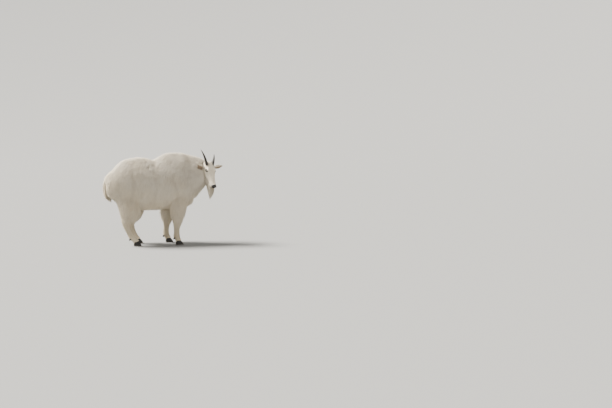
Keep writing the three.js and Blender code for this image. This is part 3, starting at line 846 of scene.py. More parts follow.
# Forms of the face: what, rise, place or first end, last end or None, and sizes or width
FACE = (
    ("brow bone", 6.0, (82, 34, 34), (106, 37, 46), 9),
    ("cheekbone", 4.5, (116, 0, 56), (168, -16, 42), 8),
    ("jaw muscle", 4.5, (108, -58, 52), None, (34, 24, 22)),
    ("hollow before the eye", -4.5, (132, 18, 42), None, (16, 9, 12)),
    ("hollow along the muzzle", -4.0, (150, 12, 40), (228, 7, 31), 8),
    ("bridge of the nose", 2.6, (120, 34, 9), (242, 26, 7), 11),
    ("hollow under the cheek", -3.6, (150, -38, 40), (205, -30, 32), 9),
    ("groove between the jaws", -5.0, (120, -92, 0), (215, -50, 0), 9),
    ("horn's foot", 4.5, (34, 30, 34), None, (15, 12, 15)),
    ("lower lip", 2.4, (214, -22, 30), (262, -19, 27), 4),
    ("upper lip", 2.4, (214, -3, 33), (266, -2, 29), 6),
    ("groove down the nose", -3.0, (296, 20, 0), (297, -8, 0), 2.2),
    ("nostril's wing", 3.2, (289, 2, 19), (279, 13, 29), 5),
    ("crease behind the wing", -2.0, (262, 4, 31), (270, 30, 22), 4.5),
)
# Rings round an eye's opening: where, rise, radius in half openings, and width
LIDS = (
    ("all", 0.9, 1.12, 0.1),
    ("above", -1.5, 1.5, 0.13),
    ("above", 1.2, 1.85, 0.2),
    ("below", -1.1, 1.55, 0.14),
)
TEAR_PIT = {"rise": -2.2, "along": 17, "up": -2, "long": 5, "high": 2.6}


def head_details(places, normals):
    """Bones, folds and hollows of the head, as rises and hollows along the surface."""
    local = head_place(places)
    rise = np.zeros(len(local))
    for _, height, first, last, size in FACE:
        rise += height * (ridge(local, first, last, size) if last else lump(local, first, size))
    for sign in SIDES.values():
        centre, gaze, slit, up = eye_axes(sign)
        offset = (places - centre) / MM
        a, b, c = offset @ slit, offset @ up, offset @ gaze
        front = smooth(c, 2, 8) * (np.linalg.norm(offset, axis=1) < 42)
        r = np.hypot(a / ALMOND["half"], b / ALMOND["high"])
        part = {"all": 1.0, "above": smooth(b, -1, 4), "below": smooth(-b, 1, 5)}
        for where, height, radius, width in LIDS:
            rise += front * part[where] * height * np.exp(-(((r - radius) / width) ** 2))
        along = (a - TEAR_PIT["along"]) / TEAR_PIT["long"]
        upward = (b - TEAR_PIT["up"]) / TEAR_PIT["high"]
        rise += front * TEAR_PIT["rise"] * np.exp(-(along**2) - upward**2)
    return places + normals * (rise * MM)[:, None]


def head_shape():
    """The head with its nose, lips, chin, brows and lids, open at eyes, nostrils and mouth."""
    bm = bmesh.new()
    add_tube(bm, loft_sections(HEAD, 96, 90))
    add_egg(bm, **NOSE)
    add_egg(bm, **CHIN)
    for sign in SIDES.values():
        for form in (LIP, WING, BROW):
            add_egg(bm, form["place"], form["sizes"], sign)
        add_egg(bm, EYE["place"], [EYE["lid"]] * 3, sign)
    head = applied(object_from(bm, "head_skin"), "REMESH", mode="VOXEL", voxel_size=0.0018)
    softened(head, 12)
    set_places(head.data, head_details(places_of(head.data), normals_of(head.data)))
    softened(head, 2)
    for sign in SIDES.values():
        combined(head, eye_cutter(sign), "DIFFERENCE")
        combined(head, nostril_cutter(sign), "DIFFERENCE")
    combined(head, mouth_cutter(), "DIFFERENCE")
    for side in SIDES:
        combined(head, ear_shape(side), "UNION")
    return head


SKIN = "goat_skin"
FLESH = ("left_ear", "right_ear", "nose", "head", "tail", "neck", "torso")


def make_skin(colours):
    body = body_shape()
    set_places(body.data, leg_details(places_of(body.data), normals_of(body.data)))
    combined(body, head_shape(), "UNION")
    body.name = body.data.name = SKIN
    for layer in list(body.data.uv_layers):
        body.data.uv_layers.remove(layer)
    body.data.uv_layers.new(name=BAKE_MAP)
    bpy.context.view_layer.objects.active = body
    body.select_set(True)
    bpy.ops.object.mode_set(mode="EDIT")
    bpy.ops.mesh.select_all(action="SELECT")
    bpy.ops.uv.smart_project(angle_limit=math.radians(66), island_margin=0.002)
    bpy.ops.object.mode_set(mode="OBJECT")
    body.select_set(False)
    legs = [f"{name}_{part}" for name in LEGS for part in ("upper", "lower")]
    return finished(body, skin_material(colours), "coat", *FLESH, *legs)


# ---- Coat ---------------------------------------------------------------------------------------


# Hair by region: its length, lift and tuft width, the share that hangs free, and its density.
# Belly, throat, breeches, chaps, far chaps and shin are added to the region above them.
HAIR = {
    name: np.array(row, float)
    for name, row in {
        "trunk": (84, 31, 3.1, 0.08, 1),
        "belly": (-10, -12, 0, 0.25, 0),
        "neck": (80, 31, 3.1, 0.1, 1),
        "throat": (0, -6, 0, 0.3, 0),
        "tail": (112, 27, 2.8, 0.5, 1.5),
        "hind_leg": (96, 27, 3.1, 0.3, 1),
        "breeches": (-6, -9, 0, -0.02, 0.2),
        "foreleg": (94, 25, 3.0, 0.42, 1),
        "chaps": (6, 2, 0, 0.1, 0.2),
        "far_chaps": (20, 38, 0, 0, 0.3),
        "foot": (14, 3.5, 1.6, 0.1, 1.5),
        "shin": (16, 4, 0.4, 0.15, 0),
        "ear": (14, 3.2, 1.0, 0.1, 2.0),
        "inner_ear": (9, 2.0, 0.8, 0.0, 0.7),
    }.items()
}
# What the trunk's hair loses behind the thighs and round the root of the tail, as shares
LESS = {"behind": np.array([0.3, 0.6, 0, 0, 0]), "dock": np.array([0.45, 0.9, 0.2, 0, 0])}
HORN_FOOT = 0.014


class Hide:
    """The skin as arrays, with the length, lie and lift of the hair at each of its vertices."""

    REGIONS = ("trunk", "neck", "tail", "head", "ear", *LEGS)

    def __init__(self, mesh):
        mesh.calc_loop_triangles()
        self.places = places_of(mesh)
        self.normals = normals_of(mesh)
        self.edges = edges_of(mesh)
        count = len(mesh.loop_triangles)
        corners, loops = np.empty(count * 3, int), np.empty(count * 3, int)
        mesh.loop_triangles.foreach_get("vertices", corners)
        mesh.loop_triangles.foreach_get("loops", loops)
        self.corners = corners.reshape(-1, 3)
        unwrap = np.empty(len(mesh.loops) * 2)
        mesh.uv_layers[BAKE_MAP].uv.foreach_get("vector", unwrap)
        self.unwrap = unwrap.reshape(-1, 2)[loops].reshape(-1, 3, 2)
        a, b, c = (self.places[self.corners[:, k]] for k in range(3))
        self.areas = np.linalg.norm(np.cross(b - a, c - a), axis=1) / 2
        self.tree = BVHTree.FromPolygons(self.places.tolist(), self.corners.tolist())
        self.region = self.nearest_region()
        self.furred = ~self.bare()
        self.comb()

    def nearest_region(self):
        """Which part of the goat each vertex belongs to."""
        lofts = [TRUNK, NECK, TAIL, HEAD, None, *LEG_LOFTS.values()]
        samples = []
        t, angle = (g.ravel() for g in np.meshgrid(np.linspace(0, 1, 60), np.linspace(0, 6.2, 40)))
        for index, loft in enumerate(lofts):
            if loft is not None:
                samples += [(place, index) for place in loft.at(t, angle)]
        for side in SIDES:
            root, away, facing, _ = ear_axes(side)
            for s in np.linspace(0.24, 1, 60):
                for angle in np.linspace(0, 6.2, 12):
                    around = turned(facing, away, angle) * 0.012
                    samples.append((root + away * EAR["long"] * MM * s + around, 4))
        tree = KDTree(len(samples))
        owner = np.empty(len(samples), int)
        for i, (place, index) in enumerate(samples):
            tree.insert(place, i)
            owner[i] = index
        tree.balance()
        return np.array([owner[tree.find(place)[1]] for place in self.places.tolist()])

    def is_in(self, *names):
        return np.isin(self.region, [self.REGIONS.index(name) for name in names])

    def comb(self):
        """Lie of the hair, and its length, lift, width, freedom and density, at each vertex."""
        x, y, z = millimetres(self.places).T
        top = smooth(z, 760, 930)
        aside = np.clip(y / 70, -1, 1)
        lie = np.stack([-0.2 - 0.8 * top, 0.45 * top * aside, -1 + 0.7 * top], axis=1)
        neck, tail = self.is_in("neck"), self.is_in("tail")
        values = HAIR["trunk"] + smooth(z, 520, 420)[:, None] * HAIR["belly"]
        values[:, 0] += 12 * smooth(x, 60, 220) * top
        behind = (smooth(-x, 300, 400) * smooth(z, 610, 500))[:, None]
        dock = np.hypot(np.maximum(np.abs(x + 432) - 10, 0), y) + 200 * (z > 705)
        dock = (np.exp(-((dock / 80) ** 2)) * (x < -360))[:, None]
        values = values * (1 - behind * LESS["behind"]) * (1 - dock * LESS["dock"])
        values[:, 1] *= 1 - 0.3 * self.normals[:, 1] ** 2
        values[neck] = (HAIR["neck"] + smooth(z, 720, 600)[:, None] * HAIR["throat"])[neck]
        values[tail] = HAIR["tail"]
        lie[tail] = (0.2, 0, -1)
        for name in LEGS:
            here = self.is_in(name)
            values[here] = self.leg_hair(name, x, z)[here]
            lie[here] = (-0.12, 0, -1)
        self.comb_head(lie, values)
        packed = spread_values(np.concatenate([lie, values], axis=1), self.edges, 14)
        lie = packed[:, :3]
        lie = lie - (lie * self.normals).sum(axis=1, keepdims=True) * self.normals
        self.lie = unit(lie)
        self.values = packed[:, 3:]

    def leg_hair(self, name, x, z):
        """Shaggy from the trunk down to the hock or knee, most of all behind, and short below."""
        rows = LEG_LOFTS[name].table
        back = smooth(np.interp(-z, -rows[:, 2], rows[:, 0]) - x, -10, 50)[:, None]
        if name.endswith("hind_leg"):
            long = smooth(z, 185, 470) ** 0.8
            full = HAIR["hind_leg"] + back * HAIR["breeches"]
        else:
            long = smooth(z, 205, 440) ** 0.7
            full = HAIR["foreleg"] + back * HAIR["chaps"]
        if name == "left_foreleg":
            low = smooth(z, 200, 280) * smooth(z, 560, 430)
            full = full + back * low[:, None] * HAIR["far_chaps"]
        short = HAIR["foot"] + smooth(z, 50, 130)[:, None] * HAIR["shin"]
        return short + long[:, None] * (full - short)

    def comb_head(self, lie, values):
        head, ear = self.is_in("head"), self.is_in("ear")
        local = head_place(self.places)
        down, out, left = local.T
        jaw = smooth(-out, 22, 58) * smooth(down, 235, 190)
        crown = smooth(down, 70, 20)
        cheek = smooth(-out, 2, 36) * smooth(down, 150, 104)
        turn = smooth(-out, -10, 42)[:, None]
        sides = np.clip(left / 40, -1, 1)[:, None] * HEAD_LEFT
        lie[head] = (-DOWN_FACE * (1 - 0.75 * turn) - OUT_OF_FACE * turn + 0.3 * sides)[head]
        clear = np.ones(len(local))
        for sign in SIDES.values():
            clear = np.minimum(clear, smooth(self.from_eye(sign), 1.1, 2.6))
        clear = clear * (1 - 0.4 * smooth(down, 225, 262))
        long = (8 + 26 * crown + 20 * jaw + 22 * cheek) * (0.4 + 0.6 * clear)
        lift = (2.2 + 10 * crown + 7 * jaw + 8 * cheek) * (0.3 + 0.7 * clear)
        wide = 0.95 + 1.2 * crown + 0.9 * jaw + 0.9 * cheek
        short = np.stack([long, lift, wide, 0.1 + 0.3 * jaw, 2.2 - crown - 0.6 * jaw], axis=1)
        values[head] = short[head]
        values[ear] = HAIR["ear"]
        for side in SIDES:
            facing = ear_axes(side)[2]
            inner = ear & ((self.normals @ facing) > 0.35) & (np.sign(left) == SIDES[side])
            values[inner] = HAIR["inner_ear"]
        outwards = np.where((left > 0)[:, None], EAR_AWAY["left"], EAR_AWAY["right"])
        lie[ear] = outwards[ear]

    def from_eye(self, sign):
        """How far each vertex is from an eye's middle: 1 on the edge of the opening."""
        centre, _, slit, up = eye_axes(sign)
        offset = (self.places - centre) / MM
        far = np.hypot(offset @ slit / ALMOND["half"], offset @ up / ALMOND["high"])
        return np.where(np.linalg.norm(offset, axis=1) < 45, far, 9)

    def bare(self):
        """Where no hair grows: the nose's pad, the lips' edge, the eyes and inside the cuts."""
        local = head_place(self.places)
        pad = (((local - NOSE_PAD["place"]) / NOSE_PAD["sizes"]) ** 2).sum(axis=1) < 1.08
        line = (local[:, 0] > 210) & (np.abs(local[:, 1] - LIP_LINE) < 3.2)
        bare = self.is_in("head") & (pad | line | (local[:, 0] > 290))
        for sign in SIDES.values():
            root = metres(on_head(*HORN["place"][:2], sign * HORN["place"][2]))
            bare |= self.from_eye(sign) < 1.32
            bare |= np.linalg.norm(self.places - root, axis=1) < HORN_FOOT
        return bare

    def rooted(self, rng, face_weights, count):
        """Random roots on the skin: triangles, shares of their corners."""
        weights = face_weights / face_weights.sum()
        faces = rng.choice(len(weights), count, p=weights)
        u, v = rng.random(count), rng.random(count)
        flip = u + v > 1
        u[flip], v[flip] = 1 - u[flip], 1 - v[flip]
        return faces, np.stack([1 - u - v, u, v], axis=1)

    def mixed(self, values, faces, shares):
        return (values[self.corners[faces]] * shares[:, :, None]).sum(axis=1)


def walked(hide, places, normals, lie, long, steps):
    """Paths over the skin from each root along the lie of the hair, and the way out of it."""
    path = [places.copy()]
    outs = [normals]
    here = places.copy()
    heading = lie.copy()
    stride = long / steps
    find = hide.tree.find_nearest
    for _ in range(steps):
        target = here + heading * stride[:, None]
        found = [find(p) for p in target.tolist()]
        here = np.array([f[0] for f in found])
        faces = np.array([f[2] for f in found])
        corner = hide.corners[faces, 0]
        normal = hide.normals[corner]
        turned_over = (normal * normals).sum(axis=1, keepdims=True) < 0.2
        outs.append(np.where(turned_over, normals, normal))
        turn = unit(0.45 * heading + 0.55 * hide.lie[corner])
        heading = unit(turn - (turn * normal).sum(axis=1, keepdims=True) * normal)
        path.append(here)
    return path, outs


TUFT = {
    "long": {"shares": (0.0, 0.3, 0.66, 1.0), "girth": (0.75, 1.0, 0.72, 0.0)},
    "medium": {"shares": (0.0, 0.5, 1.0), "girth": (0.85, 0.8, 0.0)},
    "fine": {"shares": (0.0, 1.0), "girth": (1.0, 0.0)},
}


def tuft_faces(rings):
    """The triangles of one tuft of three-sided rings and a tip, with its root closed."""
    faces = [(0, 2, 1)]
    for r in range(rings - 1):
        for k in range(3):
            a, b = 3 * r + k, 3 * r + (k + 1) % 3
            faces += [(a, b, b + 3), (a, b + 3, a + 3)]
    last, tip = 3 * (rings - 1), 3 * rings
    faces += [(last + k, last + (k + 1) % 3, tip) for k in range(3)]
    return np.array(faces)


# How deep a tuft's root sits in the skin, how far above it a tip may hang, and the lowest tip
ROOT_DEPTH, RISE_LIMIT, LOWEST_TIP = 0.0025, 0.06, 0.004


def coat_piece(hide, name, where, count, rng, kind, look):
    """One piece of coat: count tufts on the vertices chosen by where."""
    shape = TUFT[kind]
    steps = len(shape["shares"]) - 1
    first = hide.corners[:, 0]
    furred = hide.furred[hide.corners].all(axis=1)
    weights = hide.areas * furred * where[first] * hide.values[first, 4]
    if weights.sum() <= 0:
        raise RuntimeError(f"{name} has no skin to grow on")
    faces, shares = hide.rooted(rng, weights, count)
    places = hide.mixed(hide.places, faces, shares)
    normals = unit(hide.mixed(hide.normals, faces, shares))
    long, lift, wide, hang, _ = hide.mixed(hide.values, faces, shares).T
    lie = hide.mixed(hide.lie, faces, shares)
    side = np.cross(normals, unit(lie))
    sway = 0.11 * waves(places, 9.0) + 0.07 * waves(places, 31.0)
    sway = sway + rng.normal(0, look["stray"], count)
    lie = unit(lie + side * sway[:, None])
    lie = unit(lie - (lie * normals).sum(axis=1, keepdims=True) * normals)
    long = long * MM * look["length"] * np.clip(rng.normal(0.92, 0.16, count), 0.45, 1.3)
    lift = lift * MM * np.clip(rng.normal(0.86, 0.22, count), 0.25, 1.12)
    wide = wide * MM * look["width"] * np.clip(rng.normal(1, 0.25, count), 0.5, 1.7)
    path, outs = walked(hide, places, normals, lie, long, steps)
    fall = unit(lie * 0.5 + np.array([-0.05, 0, -1.0]))
    faced = outs
    if "target" in look:
        fall = unit(look["target"] - places)
        spread = places - places.mean(axis=0)
        spread = spread + 1.5 * (spread @ HEAD_LEFT)[:, None] * HEAD_LEFT
        faced = [unit(spread - (spread * fall).sum(axis=1, keepdims=True) * fall)] * len(outs)
    spine = []
    for k, s in enumerate(shape["shares"]):
        height = lift * (1 - (1 - s) ** 1.5) - ROOT_DEPTH * (1 - s)
        laid = path[k] + outs[k] * height[:, None]
        free = places + normals * height[:, None] + fall * (long * s)[:, None]
        share = hang * (1 - (1 - s) ** look["free"])
        share = np.where(free[:, 2] < path[k][:, 2] + RISE_LIMIT, share, 0)[:, None]
        spine.append(laid * (1 - share) + free * share)
    nearest = gather(spine, places, shape["shares"], look, rng)
    curl = rng.normal(0, look["curl"], count) * long
    for k, s in enumerate(shape["shares"]):
        spine[k] = spine[k] + side * (curl * math.sin(math.pi * s * 0.9) * s)[:, None]
        spine[k][:, 2] = np.maximum(spine[k][:, 2], LOWEST_TIP)
    tints = 0.6 * rng.random(count)[nearest] + 0.4 * rng.random(count)
    return tuft_mesh(hide, name, spine, faced, wide, faces, shares, shape, look["soft"], tints)


def waves(places, scale):
    """A slow random-looking wave over space, from -1 to 1."""
    x, y, z = (places * scale).T
    first = np.sin(x * 1.7 + 2 * np.sin(y * 1.3 + z * 0.7))
    second = np.sin(y * 2.1 - z * 1.1 + 1.5 * np.sin(x + z * 1.9))
    return (first + second) / 2


def gather(spine, places, shares, look, rng):
    """Draws the tips of neighbouring tufts together into locks, and returns each tuft's leader."""
    count = len(places)
    leaders = rng.choice(count, max(count // look["lock"], 1), replace=False)
    tree = KDTree(len(leaders))
    for i, leader in enumerate(leaders):
        tree.insert(places[leader], i)
    tree.balance()
    nearest = leaders[[tree.find(place)[1] for place in places.tolist()]]
    near = smooth(np.linalg.norm(places - places[nearest], axis=1), 0.05, 0.02)
    for k, s in enumerate(shares):
        pull = (look["gather"] * s**1.6) * near
        spine[k] = spine[k] + (spine[k][nearest] - spine[k]) * pull[:, None]
    return nearest


def tuft_mesh(hide, name, spine, outs, wide, faces, shares, shape, soft, tints):
    count, rings = len(wide), len(shape["shares"]) - 1
    steps = [unit(spine[min(k + 1, rings)] - spine[max(k - 1, 0)]) for k in range(rings + 1)]
    columns, ups, alongs, xs = [], [], [], []
    angles = np.radians([90, 210, 330])
    outs = [unit(np.column_stack([out[:, :2], np.maximum(out[:, 2], -0.2)])) for out in outs]
    for k in range(rings):
        side = unit(np.cross(outs[k], steps[k]))
        up = np.cross(steps[k], side)
        radius = wide * shape["girth"][k] / 2
        for angle in angles:
            reach = side * math.cos(angle) + up * (0.42 * math.sin(angle))
            columns.append(spine[k] + reach * radius[:, None])
            ups.append(unit(outs[k] * soft + reach * (1.1 - soft) + UPWARD * 0.12))
            alongs.append(shape["shares"][k])
            xs.append(0.5 + 0.5 * math.cos(angle))
    columns.append(spine[-1])
    ups.append(unit(outs[-1] * 0.7 + UPWARD * 0.2))
    alongs.append(1.0)
    xs.append(0.5)
    size = len(columns)
    places = np.stack(columns, axis=1).reshape(-1, 3)
    normals = np.stack(ups, axis=1).reshape(-1, 3)
    triangles = (tuft_faces(rings)[None] + (np.arange(count) * size)[:, None, None]).reshape(-1, 3)
    mesh = bpy.data.meshes.new(name)
    mesh.vertices.add(len(places))
    mesh.vertices.foreach_set("co", places.astype(np.float32).ravel())
    mesh.loops.add(triangles.size)
    mesh.loops.foreach_set("vertex_index", triangles.astype(np.int32).ravel())
    mesh.polygons.add(len(triangles))
    mesh.polygons.foreach_set("loop_start", np.arange(0, triangles.size, 3, dtype=np.int32))
    mesh.polygons.foreach_set("use_smooth", np.ones(len(triangles), bool))
    mesh.update(calc_edges=True)
    roots = (hide.unwrap[faces] * shares[:, :, None]).sum(axis=1)
    patch = (np.stack([xs, alongs], axis=1) - 0.5) * PATCH
    unwrap = (roots[:, None] + patch[None]).reshape(-1, 2)
    layer = mesh.uv_layers.new(name=BAKE_MAP)
    layer.uv.foreach_set("vector", unwrap[triangles.ravel()].astype(np.float32).ravel())
    for label, values in (("tip", np.tile(alongs, count)), ("tuft", np.repeat(tints, size))):
        layer = mesh.attributes.new(label, "FLOAT", "POINT")
        layer.data.foreach_set("value", values.astype(np.float32))
    mesh.normals_split_custom_set_from_vertices(normals.astype(np.float32))
    made = bpy.data.objects.new(name, mesh)
    bpy.context.scene.collection.objects.link(made)
    return made


# ---- Eyes, horns and hooves ---------------------------------------------------------------------


def make_eye(side, colours):
    centre, gaze, slit, up = eye_axes(SIDES[side])
    radius = EYE["radius"] * MM
    axes = Matrix([list(slit), list(up), list(gaze)]).transposed().to_4x4()
    bm = bmesh.new()
    bmesh.ops.create_uvsphere(bm, u_segments=64, v_segments=40, radius=radius)
    for vertex in bm.verts:
        spread = math.hypot(vertex.co.x, vertex.co.y) / radius
        if vertex.co.z > 0:
            vertex.co *= 1 + 0.07 * float(smooth(spread, 0.72, 0.2)) - 0.012
        else:
            vertex.co *= 0.988
    plane = [(vertex.co.x / radius, vertex.co.y / radius) for vertex in bm.verts]
    bmesh.ops.transform(bm, matrix=Matrix.Translation(Vector(centre)) @ axes, verts=bm.verts)
    eye = object_from(bm, side + "_eyeball")
    for label, values in zip(("slit", "upright"), zip(*plane)):
        eye.data.attributes.new(label, "FLOAT", "POINT").data.foreach_set("value", values)
    return finished(eye, eye_material(colours), "eye", side + "_eye")


def horn_loft(side):
    steps = 8
    place = on_head(*HORN["place"][:2], SIDES[side] * HORN["place"][2])
    aside = SIDES[side] * math.sin(math.radians(HORN_BEND["spread"]))
    rows = []
    for i in range(steps + 1):
        s = i / steps
        lean = math.radians(HORN_BEND["lean"] - HORN_BEND["sweep"] * s)
        radius = max(HORN["radius"] * (1 - s) ** HORN["taper"], HORN["blunt"])
        rows.append((*place, radius, radius * 1.1, radius * 1.1))
        place = place + along_head(-math.cos(lean), math.sin(lean), aside) * HORN_LONG[side] / steps
    return Loft(rows, HEAD_LEFT)


def make_horn(side, rings, colours):
    loft = horn_loft(side)
    around, along = 40, 150
    angles = np.linspace(0, 2 * math.pi, around, endpoint=False)
    sections = []
    for t in np.linspace(0, 1, along):
        row = loft.row(t)
        centre = metres(row[:3])
        fade = float(smooth(t, 0.62, 0.2))
        wave = 0.5 + 0.5 * math.cos(2 * math.pi * rings * t**0.8)
        flutes = 0.006 * np.cos(9 * angles + 4 * t)
        girth = 1 - 0.05 * fade * (1 - wave) ** 2 + flutes
        if t > 0.97:
            girth = girth * math.sqrt(max((1 - t) / 0.03, 0.02))
        sections.append(centre + (loft.at(np.full(around, t), angles) - centre) * girth[:, None])
    bm = bmesh.new()
    add_tube(bm, sections)
    horn = object_from(bm, side + "_horn_sheath")
    return finished(horn, horn_material(colours), "horn", side + "_horn")


CLAW = {"high": 50, "toe": 46, "heel": 34, "half": 14.5, "apart": 16.5, "ahead": 4}
# Height as a share, then half width and reach to toe and heel as shares of a claw's own
CLAW_SHAPE = [
    (0, 0.93, 0.95, 0.96),
    (0.04, 1, 0.99, 1),
    (0.25, 1, 0.93, 1),
    (0.6, 0.96, 0.68, 0.96),
    (0.86, 0.8, 0.4, 0.78),
    (1, 0.4, 0.12, 0.36),
]


def make_claw(leg, side, colours):
    """One toe of a hoof: a horn wall with growth lines, flat underneath."""
    foot = LEG_LOFTS[leg].table[-1]
    sign = SIDES[side]
    splay = math.radians(5) * sign
    shape = np.array(CLAW_SHAPE)
    angles = np.linspace(0, 2 * math.pi, 44, endpoint=False)
    c, s = np.cos(angles), np.sin(angles)
    across = np.array([math.sin(splay), math.cos(splay), 0])
    behind = np.cross(UPWARD, across)
    sections = []
    for share in np.concatenate([[0.0], np.linspace(0.02, 1, 34)]):
        wide, toe, heel = (np.interp(share, shape[:, 0], shape[:, k]) for k in (1, 2, 3))
        line = 1 - 0.012 * (0.5 + 0.5 * math.cos(60 * share)) * (share > 0.02)
        reach = np.where(s > 0, CLAW["heel"] * heel, CLAW["toe"] * toe) * s * line
        half = CLAW["half"] * wide * np.sign(c) * np.abs(c) ** 0.85 * line
        ahead, aside = foot[0] + CLAW["ahead"], foot[1] + sign * CLAW["apart"]
        centre = np.array([ahead, aside, CLAW["high"] * share])
        sections.append(metres(centre + half[:, None] * across + reach[:, None] * behind))
    bm = bmesh.new()
    add_tube(bm, sections)
    for vertex in bm.verts:
        vertex.co.z = max(vertex.co.z, 0.0)
    claw = object_from(bm, f"{leg}_hoof_{side}")
    return finished(claw, hoof_material(colours), "hoof", f"{leg}_claw_{side}")


# How far behind the fetlock's middle, aside of it and under it, and the radius there
DEW_CLAW = [
    (15, 13, 8, 6.4),
    (22, 13.5, 14, 7.6),
    (29, 14, 21, 7.2),
    (34, 14.6, 28, 5.4),
    (36.5, 15, 33, 3),
]


def make_dew_claw(leg, side, colours):
    """One of the two small claws behind the fetlock."""
    x, y, z = LEG_LOFTS[leg].table[-3][:3]
    sign = SIDES[side]
    rows = []
    for back, aside, low, radius in DEW_CLAW:
        rows.append((x - back, y + sign * aside, z - low, radius, radius, radius))
    bm = bmesh.new()
    add_tube(bm, loft_sections(Loft(rows), 24, 24))
    rounded(bm)
    claw = object_from(bm, f"{leg}_dew_hoof_{side}")
    return finished(claw, hoof_material(colours), "hoof", f"{leg}_dew_claw_{side}")


# ---- Stage --------------------------------------------------------------------------------------

CAMERA = {
    "azimuth": -6.0,
    "elevation": 7.0,
    "distance": 15.0,
    "focal": 1424.0,
    "aim": (0.1407, 0.0, 0.472),
    "pixel": (163.4, 199.0),
    "middle": (306.0, 204.0),
    "sensor": 36.0,
    "width": 612.0,
}


def make_camera():
    """A level camera far to the goat's right, turned so that its aim lands on its pixel."""
    azimuth, elevation = (math.radians(CAMERA[k]) for k in ("azimuth", "elevation"))
    level = math.cos(elevation)
    back = np.array([math.sin(azimuth) * level, -math.cos(azimuth) * level, math.sin(elevation)])
    sight = -back
    want = [(CAMERA["pixel"][k] - CAMERA["middle"][k]) / CAMERA["focal"] for k in (0, 1)]
    pan, tilt = math.atan2(sight[0], sight[1]), math.asin(sight[2])
    for _ in range(50):
        forward = np.array(
            [math.sin(pan) * math.cos(tilt), math.cos(pan) * math.cos(tilt), math.sin(tilt)]
        )
        right = np.array([math.cos(pan), -math.sin(pan), 0.0])
        up = np.cross(right, forward)
        pan += sight @ right / (sight @ forward) - want[0]
        tilt += sight @ up / (sight @ forward) + want[1]
    data = bpy.data.cameras.new("camera")
    data.sensor_width = CAMERA["sensor"]
    data.lens = CAMERA["focal"] * CAMERA["sensor"] / CAMERA["width"]
    data.clip_end = 500
    camera = bpy.data.objects.new("camera", data)
    bpy.context.scene.collection.objects.link(camera)
    turn = Matrix([list(right), list(up), list(-forward)]).transposed().to_4x4()
    place = np.array(CAMERA["aim"]) + SHIFT + back * CAMERA["distance"]
    camera.matrix_world = Matrix.Translation(Vector(place)) @ turn
    bpy.context.scene.camera = camera


KEY_FROM, FRONT_FROM = (-4.5, 2.0, 6.5), (3.5, -9.5, 3.6)


def make_lamp(name, toward, strength, **settings):
    """A soft sun that shines from the direction given."""
    data = bpy.data.lights.new(name, "SUN")
    data.energy = strength
    for key, value in settings.items():
        setattr(data, key, value)
    lamp = bpy.data.objects.new(name, data)
    lamp.location = toward
    lamp.rotation_mode = "QUATERNION"
    lamp.rotation_quaternion = (-Vector(toward)).to_track_quat("-Z", "Y")
    bpy.context.scene.collection.objects.link(lamp)


FLOOR = {"flat": 9.0, "bend": 36.0, "turn": math.radians(62)}


def make_floor(colours):
    """A wide pale floor whose far rim curves up all round, out of every camera's way."""
    bm = bmesh.new()
    flat, bend = FLOOR["flat"], FLOOR["bend"]
    profile = [(0.0, 0.0), (flat / 2, 0.0)]
    for turn in np.linspace(0, FLOOR["turn"], 24):
        profile.append((flat + bend * math.sin(turn), bend * (1 - math.cos(turn))))
    verts = [bm.verts.new((x, 0, z)) for x, z in profile]
    edges = [bm.edges.new(pair) for pair in zip(verts, verts[1:])]
    bmesh.ops.spin(
        bm,
        geom=verts + edges,
        axis=(0, 0, 1),
        cent=(0, 0, 0),
        angle=2 * math.pi,
        steps=96,
        use_merge=True,
    )
    floor = object_from(bm, "studio_floor")
    floor.data.flip_normals()
    floor.data.materials.append(floor_material(colours))
    floor.data.polygons.foreach_set("use_smooth", [True] * len(floor.data.polygons))


def make_world(strength, colour):
    world = bpy.data.worlds.new("studio")
    world.use_nodes = True
    sky = world.node_tree.nodes["Background"]
    sky.inputs["Color"].default_value = rgba(colour)
    sky.inputs["Strength"].default_value = strength
    bpy.context.scene.world = world


# ---- Settings -----------------------------------------------------------------------------------


def colour_setting(name, description, default):
    return bpy.props.FloatVectorProperty(
        name=name, description=description, subtype="COLOR", size=3, min=0, max=1, default=default
    )


def number_setting(name, description, default, low, high, **kind):
    return bpy.props.FloatProperty(
        name=name, description=description, default=default, min=low, max=high, **kind
    )


def count_setting(name, description, default, low, high):
    return bpy.props.IntProperty(
        name=name, description=description, default=default, min=low, max=high
    )


class GoatColours(bpy.types.PropertyGroup):
    """The colours of the goat and of the studio round it."""

    white: colour_setting("White", "The coat's main colour", (0.87, 0.80, 0.68))
    cream: colour_setting("Cream", "The warmer tint on rump, legs and chaps", (0.82, 0.68, 0.46))
    ear: colour_setting("Ear edge", "The brown of each ear's lower edge", (0.16, 0.09, 0.05))
    # Root is a painted shade colour: hair near its roots and clump patches, darkened as if shaded.
    root: colour_setting("Root", "The hair near its roots", (0.50, 0.42, 0.31))
    dark: colour_setting("Dark skin", "Nose, lids and behind the horns", (0.012, 0.010, 0.009))
    horn: colour_setting("Horn", "Horns and hooves", (0.011, 0.009, 0.008))
    horn_worn: colour_setting("Worn horn", "Where horn is scuffed", (0.055, 0.043, 0.034))
    dust: colour_setting("Dust", "Dust and wear on the hooves", (0.12, 0.10, 0.08))
    iris: colour_setting("Iris", "The eye's brown", (0.055, 0.024, 0.009))
    iris_dark: colour_setting("Dark iris", "The darker streaks of the eye", (0.018, 0.008, 0.004))
    floor: colour_setting("Floor", "The studio floor", (0.30, 0.30, 0.297))


